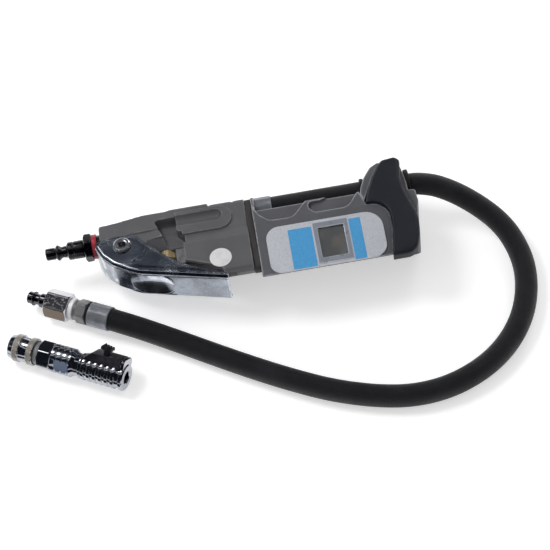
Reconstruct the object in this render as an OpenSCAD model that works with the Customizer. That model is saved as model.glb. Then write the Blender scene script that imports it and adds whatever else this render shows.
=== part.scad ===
// Hand-held digital tyre inflator: a valve housing with a squeeze lever, a display
// housing with a hose channel, a rubber end bumper, a free hose with a quick plug on
// its end, and a loose clip-on valve connector with its own quick coupler.
// +X runs from the air inlet to the hose end, +Z out of the display face, and the
// lever hangs on the -Y side.  The origin is on the back rest face.  Millimetres.

/* [Valve housing] */
// Length from the inlet end to the seam
valve_len = 99; // [92:1:110]
// Distance from the origin to the seam
seam_x = 9.5; // [8:0.5:12]
// Height of the raised face over the back
face_z = 44; // [42:0.5:48]
// Height of the lower face beside the hose side
step_z = 40.5; // [39.5:0.25:41]
// Thickness of the nose between the lever's ears
nose_t = 22.8; // [20:0.2:23]
// Height of the nose's middle plane over the back
nose_mid_z = 26.7; // [25:0.1:28]
// Side of the housing on the hose side
side_y = 33; // [31:0.5:36]
// Side of the housing on the lever side
lip_y = -27; // [-29:0.5:-26]
// Thickness of the cheek that the lever slides under
cheek_t = 3.2; // [2:0.2:3.4]

/* [Display housing] */
// Length of the housing that the label leaves free
label_free = 13; // [11:0.2:16]
// Height of the crown under the label
crown_z = 44.2; // [43:0.1:46]
// Width of the seam gasket
gasket_w = 4.3; // [3:0.1:6]
// Depth of the gasket below both housings
gasket_inset = 1.2; // [0.6:0.1:2]
// Depth of the finger pockets beside the hose
pocket_depth = 2.7; // [1:0.1:3]

/* [Label and window] */
// Length of the label
label_l = 77.6; // [72:0.2:78]
// Width of the label beyond the window frame
label_rim = 2.1; // [1.8:0.1:3]
// Thickness of the label plate
label_t = 1; // [0.6:0.1:1.6]
// Outer length of the window frame
frame_l = 23.6; // [22:0.2:24]
// Outer width of the window frame
frame_w = 30.6; // [28:0.2:31]
// Width of the window frame's rim
frame_rim = 3.1; // [2:0.1:3.5]

/* [Lever] */
// Width of the lever over its two ears
lever_w = 27.4; // [27:0.1:27.8]
// Thickness of the lever's sheet
sheet_t = 1.6; // [1.2:0.1:1.8]
// Radius of the bend between the blade and the ears
bend_r = 3; // [2:0.25:4]
// Depth of the thumb dimple
dimple_depth = 2.2; // [1:0.1:2.6]
// Diameter of the pivot pin
pivot_d = 7.9; // [6:0.1:8]
// Diameter of the pivot pin's heads
pivot_head_d = 11.9; // [10:0.1:13]
// Running clearance of turning and sliding fits, on the radius
running_gap = 0.06; // [0.03:0.01:0.09]

/* [Air line] */
// Diameter of the inlet plug's nose
inlet_nose_d = 8.2; // [7:0.1:9]
// Width across the inlet plug's hexagon
inlet_hex = 17; // [14:0.5:18]
// Diameter of the valve plunger
plunger_d = 5; // [4:0.1:6]
// Travel of the valve plunger
plunger_travel = 4.7; // [4.7:0.1:5]
// Outer diameter of the hose
hose_d = 15; // [13:0.5:15]
// Diameter of the crimped ferrules
ferrule_d = 16.8; // [16:0.1:17]

/* [End cover] */
// Reach of the end cover past the display housing
cover_reach = 20; // [19.6:0.2:24]
// Height of the end cover
cover_z = 40; // [38:0.5:41]
// Thickness of the rubber bumper over the end cover
bumper_t = 7.5; // [5:0.5:9]

/* [Loose connector] */
// Diameter of the coupler sleeve's grip bands
band_d = 19; // [18:0.2:19.4]
// Travel of the coupler sleeve
sleeve_travel = 3; // [2:0.25:3]
// Width across the connector's hexagons
conn_hex = 18; // [17:0.5:18.5]
// Diameter over the barrel's ribs
barrel_d = 18.4; // [17:0.2:19]
// Number of ribs on the barrel
rib_count = 6; // [4:1:6]
// Height of the shell over the barrel's axis
shell_h = 12.4; // [12:0.2:14]
// Diameter of the mouth that takes a tyre valve
mouth_d = 8.4; // [8:0.1:9]

/* [Hidden] */

$fn = 64;
hair = 0.01;                                  // overlap that keeps a cut clean
gap = 0.3;                                    // gap between pieces that move apart
seat = 0.05;                                  // gap round a piece that is held fast
far = 200;                                    // longer than anything that is cut

nose_x = seam_x - valve_len;                  // inlet end of the housing
nose_lo = nose_mid_z - nose_t / 2;
nose_hi = nose_mid_z + nose_t / 2;
air_y = 22;                                   // axis of the air inlet
hose_y = 26.8;                                // axis of the hose in its channel
hose_z = 30;
display_x = seam_x + gasket_w;                // start of the display housing
display_end = display_x + label_l + label_free;
cover_end = display_end + cover_reach;

// ---- Outline helpers --------------------------------------------------------

function unit(v) = v / norm(v);

// Arc that rounds the corner p between its neighbours a and b
function corner(a, p, b, r, steps = 6) =
    let (u = unit(a - p), v = unit(b - p), half = acos(u * v) / 2, t = r / tan(half),
         c = p + unit(u + v) * r / sin(half), s = p + u * t - c, e = p + v * t - c,
         a0 = atan2(s.y, s.x), turn = (atan2(e.y, e.x) - a0 + 540) % 360 - 180)
    [for (i = [0 : steps]) c + r * [cos(a0 + turn * i / steps), sin(a0 + turn * i / steps)]];

// Closed outline from [x, y, radius] points
function rounded(pts, steps = 6) =
    [for (i = [0 : len(pts) - 1])
        let (n = len(pts), p = pts[i], a = pts[(i + n - 1) % n], b = pts[(i + 1) % n],
             arc = p.z > 0 ? corner([a.x, a.y], [p.x, p.y], [b.x, b.y], p.z, steps)
                           : [[p.x, p.y]])
        each arc];

// Extrude a [y, z] section along X
module along_x(x0, x1) {
    translate([x0, 0, 0]) rotate([90, 0, 90]) linear_extrude(x1 - x0) children();
}

// Extrude an [x, z] profile along Y
module along_y(y0, y1) {
    translate([0, y1, 0]) rotate([90, 0, 0]) linear_extrude(y1 - y0) children();
}

// Extrude an [x, y] plan along Z
module along_z(z0, z1) {
    translate([0, 0, z0]) linear_extrude(z1 - z0) children();
}

// Turned piece from [distance along X, radius] points
module turned_x(profile) {
    rotate([0, 90, 0]) rotate_extrude() polygon([for (p = profile) [p.y, p.x]]);
}

// Cylinder along X
module rod_x(x0, x1, r) {
    translate([x0, 0, 0]) rotate([0, 90, 0]) cylinder(h = x1 - x0, r = r);
}

// Hexagonal bar along X with chamfered ends
module hex_x(x0, x1, across, turn = 0, chamfer = 1) {
    corner_r = across / sqrt(3);
    intersection() {
        translate([x0, 0, 0]) rotate([turn, 0, 0]) rotate([0, 90, 0])
            cylinder(h = x1 - x0, r = corner_r, $fn = 6);
        turned_x([[x0, 0], [x0, across / 2 - 0.2], [x0 + chamfer, corner_r + 0.1],
                  [x1 - chamfer, corner_r + 0.1], [x1, across / 2 - 0.2], [x1, 0]]);
    }
}

// ---- Valve housing ----------------------------------------------------------

chamfer_y = [-0.5, 8.5];                      // chamfer between the two face levels
cheek_x = nose_x + 54.9;                      // inlet end of the two cheeks
pad_x = nose_x + 51.6;                                // raised pad on the lower face
pad_y = [9.2, 27.9];
pad_z = step_z + 1.5;
pad_end = 0;
groove_y = [16.6, 25];
gland_x = nose_x + 42.5;
cavity_end = -2.5;                            // closed end of the lever's cavity
pivot = [nose_x + 14.1, 9.2];

// Cross section of the wide part, as [y, z]
function valve_section(edge_r) = rounded([
    [lip_y, face_z, 3], [chamfer_y[0], face_z, 2], [chamfer_y[1], step_z, 2],
    [side_y, step_z, edge_r], [side_y, 7, 8], [20, 0, 3], [-3, 0, 1.5],
    [lip_y, 38, 3]]);

// Plan of the narrow nose that the lever's ears straddle
module nose_plan() {
    polygon(rounded([
        [nose_x - 0.5, 9.5, 1], [nose_x - 0.9, 14, 2], [nose_x - 0.8, 30, 2],
        [nose_x + 11.5, 30.2, 12], [nose_x + 29, 32, 12], [nose_x + 45.5, side_y, 0],
        [nose_x + 49.5, side_y, 0], [nose_x + 49.5, 5, 0], [nose_x + 31.5, 5, 2],
        [nose_x + 28.5, 1, 2], [nose_x + 4.9, 1, 2], [nose_x + 0.7, 5.8, 1]]));
}

module valve_block_shape() {
    // wide part, from the ramp behind the nose to the seam
    difference() {
        intersection() {
            union() {
                along_x(nose_x + 22, -15.2) polygon(valve_section(2.5));
                along_x(-15.3, seam_x) polygon(valve_section(5.5));
            }
            along_y(-far, far) polygon([
                [nose_x + 35.5, nose_lo], [nose_x + 53.5, 0], [seam_x, 0],
                [seam_x, face_z + 1], [cheek_x - 8, face_z + 1], [cheek_x - 9.4, step_z],
                [nose_x + 31.5, nose_hi]]);
        }
        // the ramp narrows towards the nose on the hose side
        along_z(-1, far) polygon([
            [nose_x + 20, 26], [nose_x + 32, 26], [nose_x + 50, side_y + hair],
            [nose_x + 50, far], [nose_x + 20, far]]);
        // open corner over the gland, and the slanted lip of the front cheek
        along_z(nose_hi, far) polygon([
            [-far, -far], [-far, chamfer_y[1]], [cheek_x, chamfer_y[1]], [cheek_x, -12.8],
            [-12, -22], [-9.5, lip_y - 1], [-9.5, -far]]);
        along_z(-1, nose_hi + hair) polygon([
            [-far, -far], [-far, 5], [cheek_x - 10, 5], [cheek_x - 7, -8], [-12, -22],
            [-9.5, lip_y - 1], [-9.5, -far]]);
        along_z(-1, nose_lo) polygon([
            [-far, -far], [-far, 9], [cheek_x - 10, 9], [cheek_x - 10, -far]]);
    }
    // narrow nose
    intersection() {
        along_z(nose_lo, nose_hi) nose_plan();
        along_x(nose_x - 5, nose_x + 50.5) polygon(rounded([
            [0, nose_lo, 0], [0, nose_hi, 0], [side_y, nose_hi, 5], [side_y, nose_lo, 5]]));
    }
    // long ramp from the nose up to the lower face
    intersection() {
        along_z(nose_lo + 6, far) nose_plan();
        along_y(18.5, far) polygon([
            [nose_x + 6, nose_hi - 6], [nose_x + 6, nose_hi], [nose_x + 48, step_z],
            [nose_x + 49.6, step_z], [nose_x + 49.6, nose_hi - 6]]);
        along_x(nose_x - 5, nose_x + 50.5) polygon(rounded([
            [0, 0, 0], [0, step_z, 0], [side_y, step_z, 4], [side_y, 0, 0]]));
    }
    // raised pad with a round end
    along_z(step_z - 4, pad_z) polygon(rounded([
        [pad_x, pad_y[0], 0], [pad_end, pad_y[0], 9.2], [pad_end, pad_y[1], 9.2],
        [pad_x, pad_y[1], 0]], 12));
}

module valve_housing() {
    cavity_z = [nose_mid_z - lever_w / 2 - 0.4, nose_mid_z + lever_w / 2 + 0.4];
    color([0.32, 0.31, 0.32]) difference() {
        valve_block_shape();
        // cavity that the lever swings into
        along_z(cavity_z[0], min(cavity_z[1], face_z - cheek_t)) polygon([
            [nose_x + 31.5, -far], [nose_x + 31.5, 5], [bracket_x[0] - seat, 4.4], [bracket_x[1] + seat, 4.4],
            [bracket_x[1] + seat, -6.2], [cavity_end, -12.3], [cavity_end, -far]]);
        // chamfer along the nose beside the gland
        along_x(nose_x + 30.5, cheek_x) polygon([
            [4, nose_hi - 6], [4, nose_hi + 5], [12, nose_hi + 5], [12, nose_hi]]);
        // deep recess at the inlet end of the pad
        along_z(nose_hi - 5, far) polygon(rounded([
            [pad_x - 14.9, 25.4, 2], [pad_x + hair, 25.4, 0], [pad_x + hair, 13.5, 0],
            [pad_x + 4.9, 8, 0], [pad_x + 4.9, 1.5, 0], [pad_x - 3.1, 0.5, 2],
            [pad_x - 8.1, 7.4, 0]]));
        // thumb groove along the pad
        translate([0, (groove_y[0] + groove_y[1]) / 2, pad_z + 1.4]) {
            rod_x(pad_x - 1, pad_end - 11, 4.6);
            translate([pad_end - 11, 0, 0]) sphere(r = 4.6);
        }
        // notches on the hose side's edge
        for (x = [-15.2, 0.8]) translate([x, side_y - 3.2, step_z - 4]) cube([1.3, 9, 9]);
        // nick across the chamfer
        translate([-6.6, -0.8, face_z - 0.9]) rotate([0, 0, 6]) cube([0.8, 6, 4]);
        // pivot bore through the nose
        translate([pivot.x, pivot.y, nose_lo - 1])
            cylinder(h = nose_t + 2, r = pivot_d / 2 + running_gap);
        // pocket for the valve block, its inlet neck and the hose tail
        valve_block_form(seat);
        translate([0, air_y, nose_mid_z]) rod_x(nose_x - 3, block_x[0], inlet_neck_r + seat);
        translate([0, hose_y, hose_z]) rod_x(block_x[1], far, tail_r + seat);
        // bore for the brass gland
        translate([gland_x, 0, nose_mid_z]) rotate([-90, 0, 0])
            cylinder(h = air_y, r = gland_r + seat);
        screw_holes(valve_screws);
    }
}

// ---- Seam gasket ------------------------------------------------------------

module seam_gasket() {
    color([0.13, 0.12, 0.13]) difference() {
        along_x(seam_x, display_x) polygon(rounded([
            [lip_y - 1, face_z - gasket_inset - 1.5, 3], [0, face_z - gasket_inset, 6],
            [side_y - gasket_inset, step_z - gasket_inset, 4],
            [side_y - gasket_inset, 8, 7], [14, gasket_inset, 5], [-3, gasket_inset, 2],
            [lip_y - 1, 36, 3]]));
        translate([0, hose_y, hose_z]) rod_x(0, far, ferrule_d / 2 + gap);
    }
}

// ---- Display housing --------------------------------------------------------

label_slope = 6.6;                            // tilt of the label towards the lever side
label_edge = [-34.3, 40.2];                   // lower edge of the label's seat, as [y, z]
label_mid_x = display_x + 6.3 + label_l / 2;
channel_r = hose_d / 2 + 0.5;

// Place children on the label's seat: x along the housing, y up the slope
module on_label() {
    translate([label_mid_x, label_edge[0], label_edge[1]]) rotate([label_slope, 0, 0])
        children();
}

// Plan of the display housing's end; g grows it for the cover's clearance
function display_plan(g) = rounded([
    [-1, -60, 0], [display_end - 9.4 + g, -60, 0], [display_end - 4 + g, -35.5 - g, 9],
    [display_end - 0.4 + g, -14, 25], [display_end - 0.6 + g, 6.2 + g, 13],
    [display_end - 14.9 + g, 6.2 + g, 0], [display_end - 17.7 + g, 17, 0],
    [display_end - 17.7 + g, 60, 0], [-1, 60, 0]], 12);

module display_housing() {
    seat_top = [label_edge[0] + (label_w + 0.4) * cos(label_slope),
                label_edge[1] + (label_w + 0.4) * sin(label_slope)];
    color([0.42, 0.42, 0.44]) difference() {
        union() {
            intersection() {
                along_x(display_x, display_end) polygon(rounded([
                    [label_edge[0], label_edge[1], 0], [seat_top.x, seat_top.y, 0],
                    [6, crown_z + 0.6, 3], [hose_y - channel_r - 0.2, crown_z - 0.4, 2],
                    [hose_y - channel_r + 0.8, hose_z - 1, 0],
                    [hose_y - 3.8, hose_z - channel_r + 1.5, 0],
                    [34.5, hose_z - channel_r + 1.5, 1.5], [34.5, 12, 8], [15, 0, 5],
                    [-6.5, 0, 2], [label_edge[0] + 0.7, 38.4, 1.5]]));
                along_z(-1, far) polygon(display_plan(0));
            }
            // collar round the ferrule at the seam
            along_x(display_x, display_x + 2.2) polygon(rounded([
                [10, 20, 0], [10, crown_z - 0.6, 0], [17, crown_z - 1.6, 4],
                [side_y - 0.4, step_z - 0.6, 5], [side_y - 0.4, 14, 4], [20, 8, 0]]));
        }
        // hose channel and ferrule clearance
        translate([0, hose_y, hose_z]) rod_x(0, far, channel_r);
        translate([0, hose_y, hose_z]) rod_x(0, display_x + 16, ferrule_d / 2 + gap);
        // two finger pockets beside the channel
        along_z(crown_z - 0.4 - pocket_depth, far) {
            polygon(rounded([[display_x - 0.5, 40, 0], [display_x + 0.5, 25, 0],
                             [display_x + 3.2, 14, 8], [24, 6.6, 6], [40, 6.2, 8],
                             [50.5, 19, 0], [50.5, 30, 0], [display_x + 3, 30, 0]]));
            polygon(rounded([[66, 30, 0], [65, 19, 0], [60, 16.6, 4], [52, 16.6, 3],
                             [51.5, 12, 3], [54.5, 7, 4], [display_end - 27, 7, 8],
                             [display_end - 18.9, 19, 0], [display_end - 18.9, 30, 0]]));
        }
        // chamber for the display, the board and the cells
        on_label() translate([window_x - window_l / 2, window_y, -window_depth])
            cube([window_l, window_w, window_depth + 5]);
        translate([chamber[0][0], chamber[0][1], chamber[0][2]])
            cube([for (i = [0 : 2]) chamber[1][i] - chamber[0][i]]);
        screw_holes(display_screws);
    }
}

// ---- Label, window and electronics -------------------------------------------

window_x = 4.4;                               // middle of the window from the label's middle
window_y0 = 1.7;                              // lower edge of the frame on the slope
label_w = window_y0 + frame_w + label_rim;    // width of the label over its slope
window_l = frame_l - 2 * frame_rim;
window_w = frame_w - 2 * frame_rim - 1.8;     // the rim is 0.9 wider above and below
window_y = window_y0 + frame_rim + 0.9;
window_depth = 7;
chamber = [[26, -7, 6], [84, 13, 37.5]];      // inner corners of the chamber
board_t = 1.6;
stripe_t = 0.25;
stripe_1 = [-24, 15.8, 30.3];                 // start, width and height of each stripe
stripe_2 = [16.8, 7.8, 31.2];

module label_plate() {
    color([0.8, 0.81, 0.84]) on_label() difference() {
        linear_extrude(label_t) polygon(rounded([
            [-label_l / 2, 0.2, 7], [-label_l / 2, label_w, 9], [label_l / 2, label_w, 12],
            [label_l / 2, 0.2, 9]], 8));
        translate([window_x - frame_l / 2 - hair, window_y0 - hair, -1])
            cube([frame_l + 2 * hair, frame_w + 2 * hair, 5]);
    }
}

module label_stripes() {
    color([0.26, 0.59, 0.83]) on_label() for (s = [stripe_1, stripe_2])
        translate([s[0], 0.4, label_t]) cube([s[1], s[2] - 0.4, stripe_t]);
}

module window_frame() {
    color([0.74, 0.75, 0.79]) on_label() difference() {
        translate([window_x - frame_l / 2, window_y0, 0]) {
            cube([frame_l, frame_w, label_t + 0.2]);
            translate([0.5, 0.5, 0]) cube([frame_l - 1, frame_w - 1, label_t + 0.6]);
        }
        translate([window_x - window_l / 2, window_y, -1]) cube([window_l, window_w, 5]);
    }
}

module display_lens() {
    color([0.75, 0.8, 0.85, 0.35]) on_label()
        translate([window_x - window_l / 2 + seat, window_y + seat, -lens_t + label_t])
            cube([window_l - 2 * seat, window_w - 2 * seat, lens_t]);
}

module lcd_screen() {
    color([0.27, 0.25, 0.24]) on_label()
        translate([window_x - window_l / 2 + gap, window_y + gap, label_t - lens_t - lcd_t])
            cube([window_l - 2 * gap, window_w - 2 * gap, lcd_t]);
}

module circuit_board() {
    color([0.1, 0.35, 0.2]) translate([chamber[0][0] + gap, chamber[0][1] + gap, board_z])
        cube([chamber[1][0] - chamber[0][0] - 2 * gap,
              chamber[1][1] - chamber[0][1] - 2 * gap, board_t]);
}

module pressure_sensor() {
    color([0.7, 0.7, 0.72]) translate([chamber[1][0] - 8, 3, board_z - 6]) difference() {
        union() {
            cylinder(h = 6, d = 9);
            translate([0, 0, -4]) cylinder(h = 5, d = 4);
        }
        translate([0, 0, -5]) cylinder(h = 8, d = 2);
    }
}

module battery_cells() {
    for (y = cell_y) translate([0, y, chamber[0][2] + cell_d / 2 + seat]) {
        color([0.2, 0.3, 0.5]) rod_x(cell_x, cell_x + 43.5, cell_d / 2);
        color([0.8, 0.8, 0.8]) rod_x(cell_x + 43.4, cell_x + 44.5, 2.7);
    }
}

module battery_contacts() {
    color([0.8, 0.78, 0.7]) for (x = [cell_x - 0.9, cell_x + 44.6])
        translate([x, cell_y[0] - 4, chamber[0][2] + seat])
            cube([0.8, cell_y[1] - cell_y[0] + 8, 10]);
}

// ---- Air line inside the housing ----------------------------------------------

lens_t = 2;
lcd_t = 2.8;
board_z = 29;
cell_d = 9.6;
cell_x = 28;
cell_y = [-2, 8];
block_x = [nose_x + 21.5, 2];
block_w = 12;
inlet_neck_r = 7;
tail_r = 5;
bore_r = 3;
gland_r = 5.9;
gland_hex = 12;
gland_end = -1;                               // outer end of the gland
bracket_x = [nose_x + 48.6, nose_x + 54.6];
valve_screws = [[-28, 8], [-6, 10]];
display_screws = [[20, 4], [90, 0]];
screw_head = [3, 2.4];                        // radius and height of a screw head

// Block that carries the air from the inlet to the hose; g grows it for its pocket
module valve_block_form(g) {
    translate([block_x[0] - g, air_y - block_w / 2 - g, nose_mid_z - block_w / 2 - g])
        cube([block_x[1] - block_x[0] + 2 * g, block_w + 2 * g, block_w + 2 * g]);
    translate([0, hose_y, hose_z]) rod_x(block_x[1] - 12 - g, block_x[1] + g, tail_r + g);
}

module valve_block() {
    color([0.72, 0.58, 0.3]) difference() {
        valve_block_form(0);
        translate([0, air_y, nose_mid_z]) rod_x(-far, -12, bore_r);
        translate([0, (air_y + hose_y) / 2, (nose_mid_z + hose_z) / 2])
            rod_x(-14, far, bore_r);
        translate([gland_x, 0, nose_mid_z]) rotate([-90, 0, 0])
            cylinder(h = air_y + 1, r = plunger_d / 2 + gap);
    }
}

module valve_gland() {
    color([0.85, 0.72, 0.45]) translate([gland_x, 0, nose_mid_z]) rotate([-90, 0, 0])
        difference() {
            union() {
                translate([0, 0, gland_end]) rotate([0, 0, 30])
                    cylinder(h = 5, d = gland_hex * 2 / sqrt(3), $fn = 6);
                translate([0, 0, 3.9]) cylinder(h = air_y - block_w / 2 - 3.9 - seat,
                                                r = gland_r);
            }
            translate([0, 0, -5]) cylinder(h = far, r = plunger_d / 2 + running_gap);
        }
}

module gland_bracket() {
    color([0.45, 0.45, 0.46]) translate([bracket_x[0], -8, nose_mid_z - 6.5])
        cube([bracket_x[1] - bracket_x[0], 12.2, 12.8]);
}

module inflate_plunger() {
    tip_y = -13.2;
    color([0.8, 0.8, 0.82]) translate([gland_x, 0, nose_mid_z]) {
        translate([0, tip_y, 0]) sphere(d = plunger_d);
        translate([0, tip_y, 0]) rotate([-90, 0, 0]) cylinder(h = 27.5, d = plunger_d);
    }
}

module inlet_plug() {
    nose_r = inlet_nose_d / 2;
    x = nose_x;
    color([0.3, 0.3, 0.31]) translate([0, air_y, nose_mid_z]) difference() {
        union() {
            turned_x([[x - 39.2, 0], [x - 39.2, nose_r - 0.6], [x - 38.6, nose_r],
                [x - 33.1, nose_r], [x - 32.7, nose_r - 0.5], [x - 32.3, nose_r - 0.5],
                [x - 31.9, nose_r + 0.5], [x - 31.1, nose_r + 1.2], [x - 30.1, nose_r + 1.2],
                [x - 29.1, nose_r + 0.2], [x - 27.9, nose_r - 0.4], [x - 24.7, nose_r + 0.1],
                [x - 24, 5.6], [x - 23.3, 6.15], [x - 12.4, 6.15], [x - 12.4, 7.3],
                [x - 1.2, 7.3], [x - 1.2, inlet_neck_r], [block_x[0] - seat, inlet_neck_r],
                [block_x[0] - seat, 0]]);
            hex_x(x - 12.5, x - 7, inlet_hex, 12);
        }
        rod_x(-far, 0, 2.2);
    }
}

module inlet_ring() {
    color([0.75, 0.16, 0.18]) translate([0, air_y, nose_mid_z]) difference() {
        turned_x([[nose_x - 6.9, 7.3 + seat], [nose_x - 6.9, 8.1], [nose_x - 6.6, 8.4],
                  [nose_x - 3.9, 8.4], [nose_x - 3.6, 8.1], [nose_x - 3.6, 7.3 + seat]]);
    }
}

module hose_tail() {
    color([0.7, 0.7, 0.72]) translate([0, hose_y, hose_z]) difference() {
        union() {
            rod_x(block_x[1] + seat, ferrule_x + 0.6, tail_r);
            rod_x(ferrule_x, ferrule_x + 13, hose_bore_r - seat);
        }
        rod_x(-far, far, 2.4);
    }
}

// ---- Hose in its channel ------------------------------------------------------

hose_bore_r = 4;
ferrule_x = 12.9;                             // start of the ferrule on the tail
ferrule_l = 14.6;
exit_x = display_end + 17.6;                  // where the free hose starts

// Crimped sleeve with lengthwise flats, from x = 0, closed at its start
module ferrule(length) {
    difference() {
        intersection() {
            turned_x([[0, 0], [0, ferrule_d / 2 - 0.6], [0.6, ferrule_d / 2],
                      [length - 0.5, ferrule_d / 2], [length, ferrule_d / 2 - 0.4],
                      [length, 0]]);
            union() {
                rod_x(0, 1.6, ferrule_d);
                rotate([0, 90, 0]) cylinder(h = length, d = ferrule_d * 1.035, $fn = 10);
                rod_x(length - 1.6, length, ferrule_d);
            }
        }
        rod_x(0.8, length + 1, hose_d / 2 + seat);
        rod_x(-1, 2, tail_r + seat);
    }
}

module tail_ferrule() {
    color([0.75, 0.76, 0.78]) translate([ferrule_x, hose_y, hose_z]) ferrule(ferrule_l);
}

module channel_hose() {
    color([0.08, 0.08, 0.09]) translate([0, hose_y, hose_z]) difference() {
        rod_x(ferrule_x + 0.9, exit_x, hose_d / 2);
        rod_x(0, exit_x - 5, hose_bore_r);
    }
}

module hose_grommet() {
    color([0.06, 0.06, 0.07]) translate([0, hose_y, hose_z]) difference() {
        turned_x([[lip_x, hose_d / 2 + seat], [lip_x, 9], [lip_x + 0.4, 9.3],
            [lip_x + 2.3, 9.3], [lip_x + 2.3, 8.6],
                  [grommet_x, 8.6], [grommet_x, 10.5], [grommet_x + 2.3, 10.5],
                  [grommet_x + 2.8, 10], [grommet_x + 2.8, hose_d / 2 + seat]]);
    }
}

// ---- End cover and bumper -------------------------------------------------------

grommet_x = display_end + 14.6;               // outer face of the horn round the hose

lip_x = display_end - 15.8;                   // inner lip of the grommet
shoulder_z = crown_z - 0.7;

// Plan of the end cover, with a horn beside the hose
function cover_plan(g) = let (e = display_end) rounded([
    [e - 6.4, -40, 0], [e - 24.4 - g, 5, 0], [e - 17.5 - g, 17, 6], [e - 15.4 - g, 25.6, 10],
    [e - 10.8 - g, 34.6, 10], [e - 6.4 - g, 39 + g, 6], [e - 1.4, 41.5 + g, 4],
    [e + 8.6, 41.5 + g, 5], [e + 12.9 + g, 37, 8], [grommet_x + 0.3 + g, 24, 0],
    [grommet_x + 0.3 + g, 15.6 + g, 0], [cover_end - 0.4 + g, 15.2 + g, 2],
    [cover_end + g, 5, 12], [cover_end - 2.2 + g, -5 - g, 0], [band_x + g, -5 - g, 0],
    [band_x + g, -24, 8], [band_x - 4 + g, -34, 6]]);

module end_cover() {
    e = display_end;
    color([0.4, 0.4, 0.42]) difference() {
        union() {
            intersection() {
                along_z(-1, cover_z) polygon(cover_plan(0));
                along_x(e - 24.4, cover_end + 5) polygon(rounded([
                    [-35.5, cover_z, 0], [41.5, cover_z, 3], [41.5, 14, 6], [28, 4, 6],
                    [15, 0, 4], [-6.5, 0, 2], [-34, 38, 2]]));
            }
            // shoulder beside the bumper, level with the crown
            along_z(cover_z - 3, shoulder_z) polygon(rounded([
                [e - 15.9, 9.4, 0], [e - 17.5, 17, 0], [e - 16.2, 21.5, 8],
                [e - 12.9, 29, 10], [e - 7.6, 36.4, 6], [e - 2.6, 39.2, 0],
                [e - 0.6, 39.2, 0], [e - 3.9, 34, 0], [e - 8.3, 26, 12],
                [e - 12.8, 16, 12]]));
        }
        along_z(-2, far) polygon(display_plan(seat));
        translate([0, hose_y, hose_z]) {
            rod_x(e - 24.4, far, 8.6 + seat);
            rod_x(e - 24.4, lip_x + 2.3 + seat, 9.3 + seat);
            rod_x(grommet_x - seat, far, 10.5 + seat);
        }
    }
}

band_x = display_end + 10.4;                  // inner side of the bumper's end band

// Outer plan of the bumper; its first points are the side over the display
function bumper_side(e) = [[e + 9.9, 40, 2], [e + 13.2, 37, 2.5], [e + 11.2, 23, 12],
    [e + 12.2, 12.3, 12], [e + 14.5, 2.1, 20], [e + 16.6, -5.9, 12], [e + 17.1, -13, 15],
    [e + 16.3, -21, 20], [e + 15, -27.6, 12], [e + 12.7, -34.5, 8], [e + 7.8, -39, 6]];

module end_bumper() {
    e = display_end;
    top_z = cover_z + bumper_t;
    round_r = 2.5;
    color([0.13, 0.15, 0.19]) difference() {
        union() {
            // pad over the display side
            intersection() {
                minkowski() {
                    translate([0, 0, cover_z - 4]) linear_extrude(top_z - cover_z + 4 - round_r)
                        offset(delta = -round_r) polygon(rounded(concat([
                            [e - 9, -39, 0], [e - 20, -39, 0], [e - 20, 2, 0], [e - 17.2, 2, 0],
                            [e - 12.4, 15.8, 12], [e - 7.8, 25.8, 12], [e - 3.4, 33.6, 6],
                            [e + 0.4, 38.9, 3]], bumper_side(e)), 3));
                    sphere(r = round_r, $fn = 12);
                }
                along_z(cover_z + seat, far) square(2 * far, center = true);
            }
            // band down the end
            intersection() {
                along_z(4, cover_z + 1) polygon(rounded(concat([
                    [e - 2, -39, 0], [e - 2, -34, 0], [band_x - 6, -34, 0], [band_x - 6, -5.1, 0],
                    [e + 16.3, -5.1, 0], [e + 16.5, -6.2, 0]],
                    [for (i = [6 : 10]) bumper_side(e)[i]])));
                along_x(e - 24.4, far) polygon([
                    [-39.5, far], [-39.5, 43], [-10, 2], [40, 2], [40, far]]);
            }
        }
        along_z(-2, far) polygon(display_plan(seat));
        along_z(-2, cover_z + seat) polygon(cover_plan(seat));
    }
}

module screw_holes(places) {
    for (p = places) translate([p.x, p.y, 0]) {
        translate([0, 0, -1]) cylinder(h = screw_head[1] + 1.7, r = screw_head[0] + seat);
        cylinder(h = 12, r = 1.5 + seat);
    }
}

module housing_screws() {
    color([0.2, 0.2, 0.21]) for (p = concat(valve_screws, display_screws))
        translate([p.x, p.y, 0]) difference() {
            union() {
                translate([0, 0, 0.6]) cylinder(h = screw_head[1], r = screw_head[0]);
                translate([0, 0, 0.7]) cylinder(h = 10.8, r = 1.5);
            }
            cylinder(h = 2, r = 1.5, $fn = 6);
        }
}

// ---- Lever ------------------------------------------------------------------------

// Outer side of the bent blade, closed far behind it, as [x, y, radius]
blade_turn = 15;                              // slope of the straight blade
lever_bend = [nose_x + 22.1, -14.4];          // where the straight blade starts
lever_outline = [[nose_x - 4.5, 60, 0], [nose_x - 4.5, 12.3, 5], [nose_x - 1.4, 3.7, 9],
                 [nose_x + 6, -4.5, 12], [nose_x + 16.3, -11.3, 12],
                 [lever_bend.x, lever_bend.y, 10],
                 [20, lever_bend.y - (20 - lever_bend.x) * tan(blade_turn), 0], [20, 60, 0]];
lever_z = nose_mid_z - lever_w / 2;
lever_end = seam_x - 18.3;
dimple_at = lever_bend + 8.6 * [cos(blade_turn), -sin(blade_turn)] + [0, -0.1];
web_y = 11.2;                                 // top of the web at the inlet end
dimple_r = 26;                                // radius of the die that presses the dimple

// Outline moved inwards by d, with its radii made smaller to suit
function inset(pts, d) = [for (i = [0 : len(pts) - 1])
    let (n = len(pts), p = [pts[i].x, pts[i].y], a = pts[(i + n - 1) % n],
         b = pts[(i + 1) % n], u = unit([a.x, a.y] - p), v = unit([b.x, b.y] - p),
         q = p + unit(u + v) * d / sin(acos(u * v) / 2))
    [q.x, q.y, pts[i].z > 0 ? pts[i].z - d : 0]];

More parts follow.
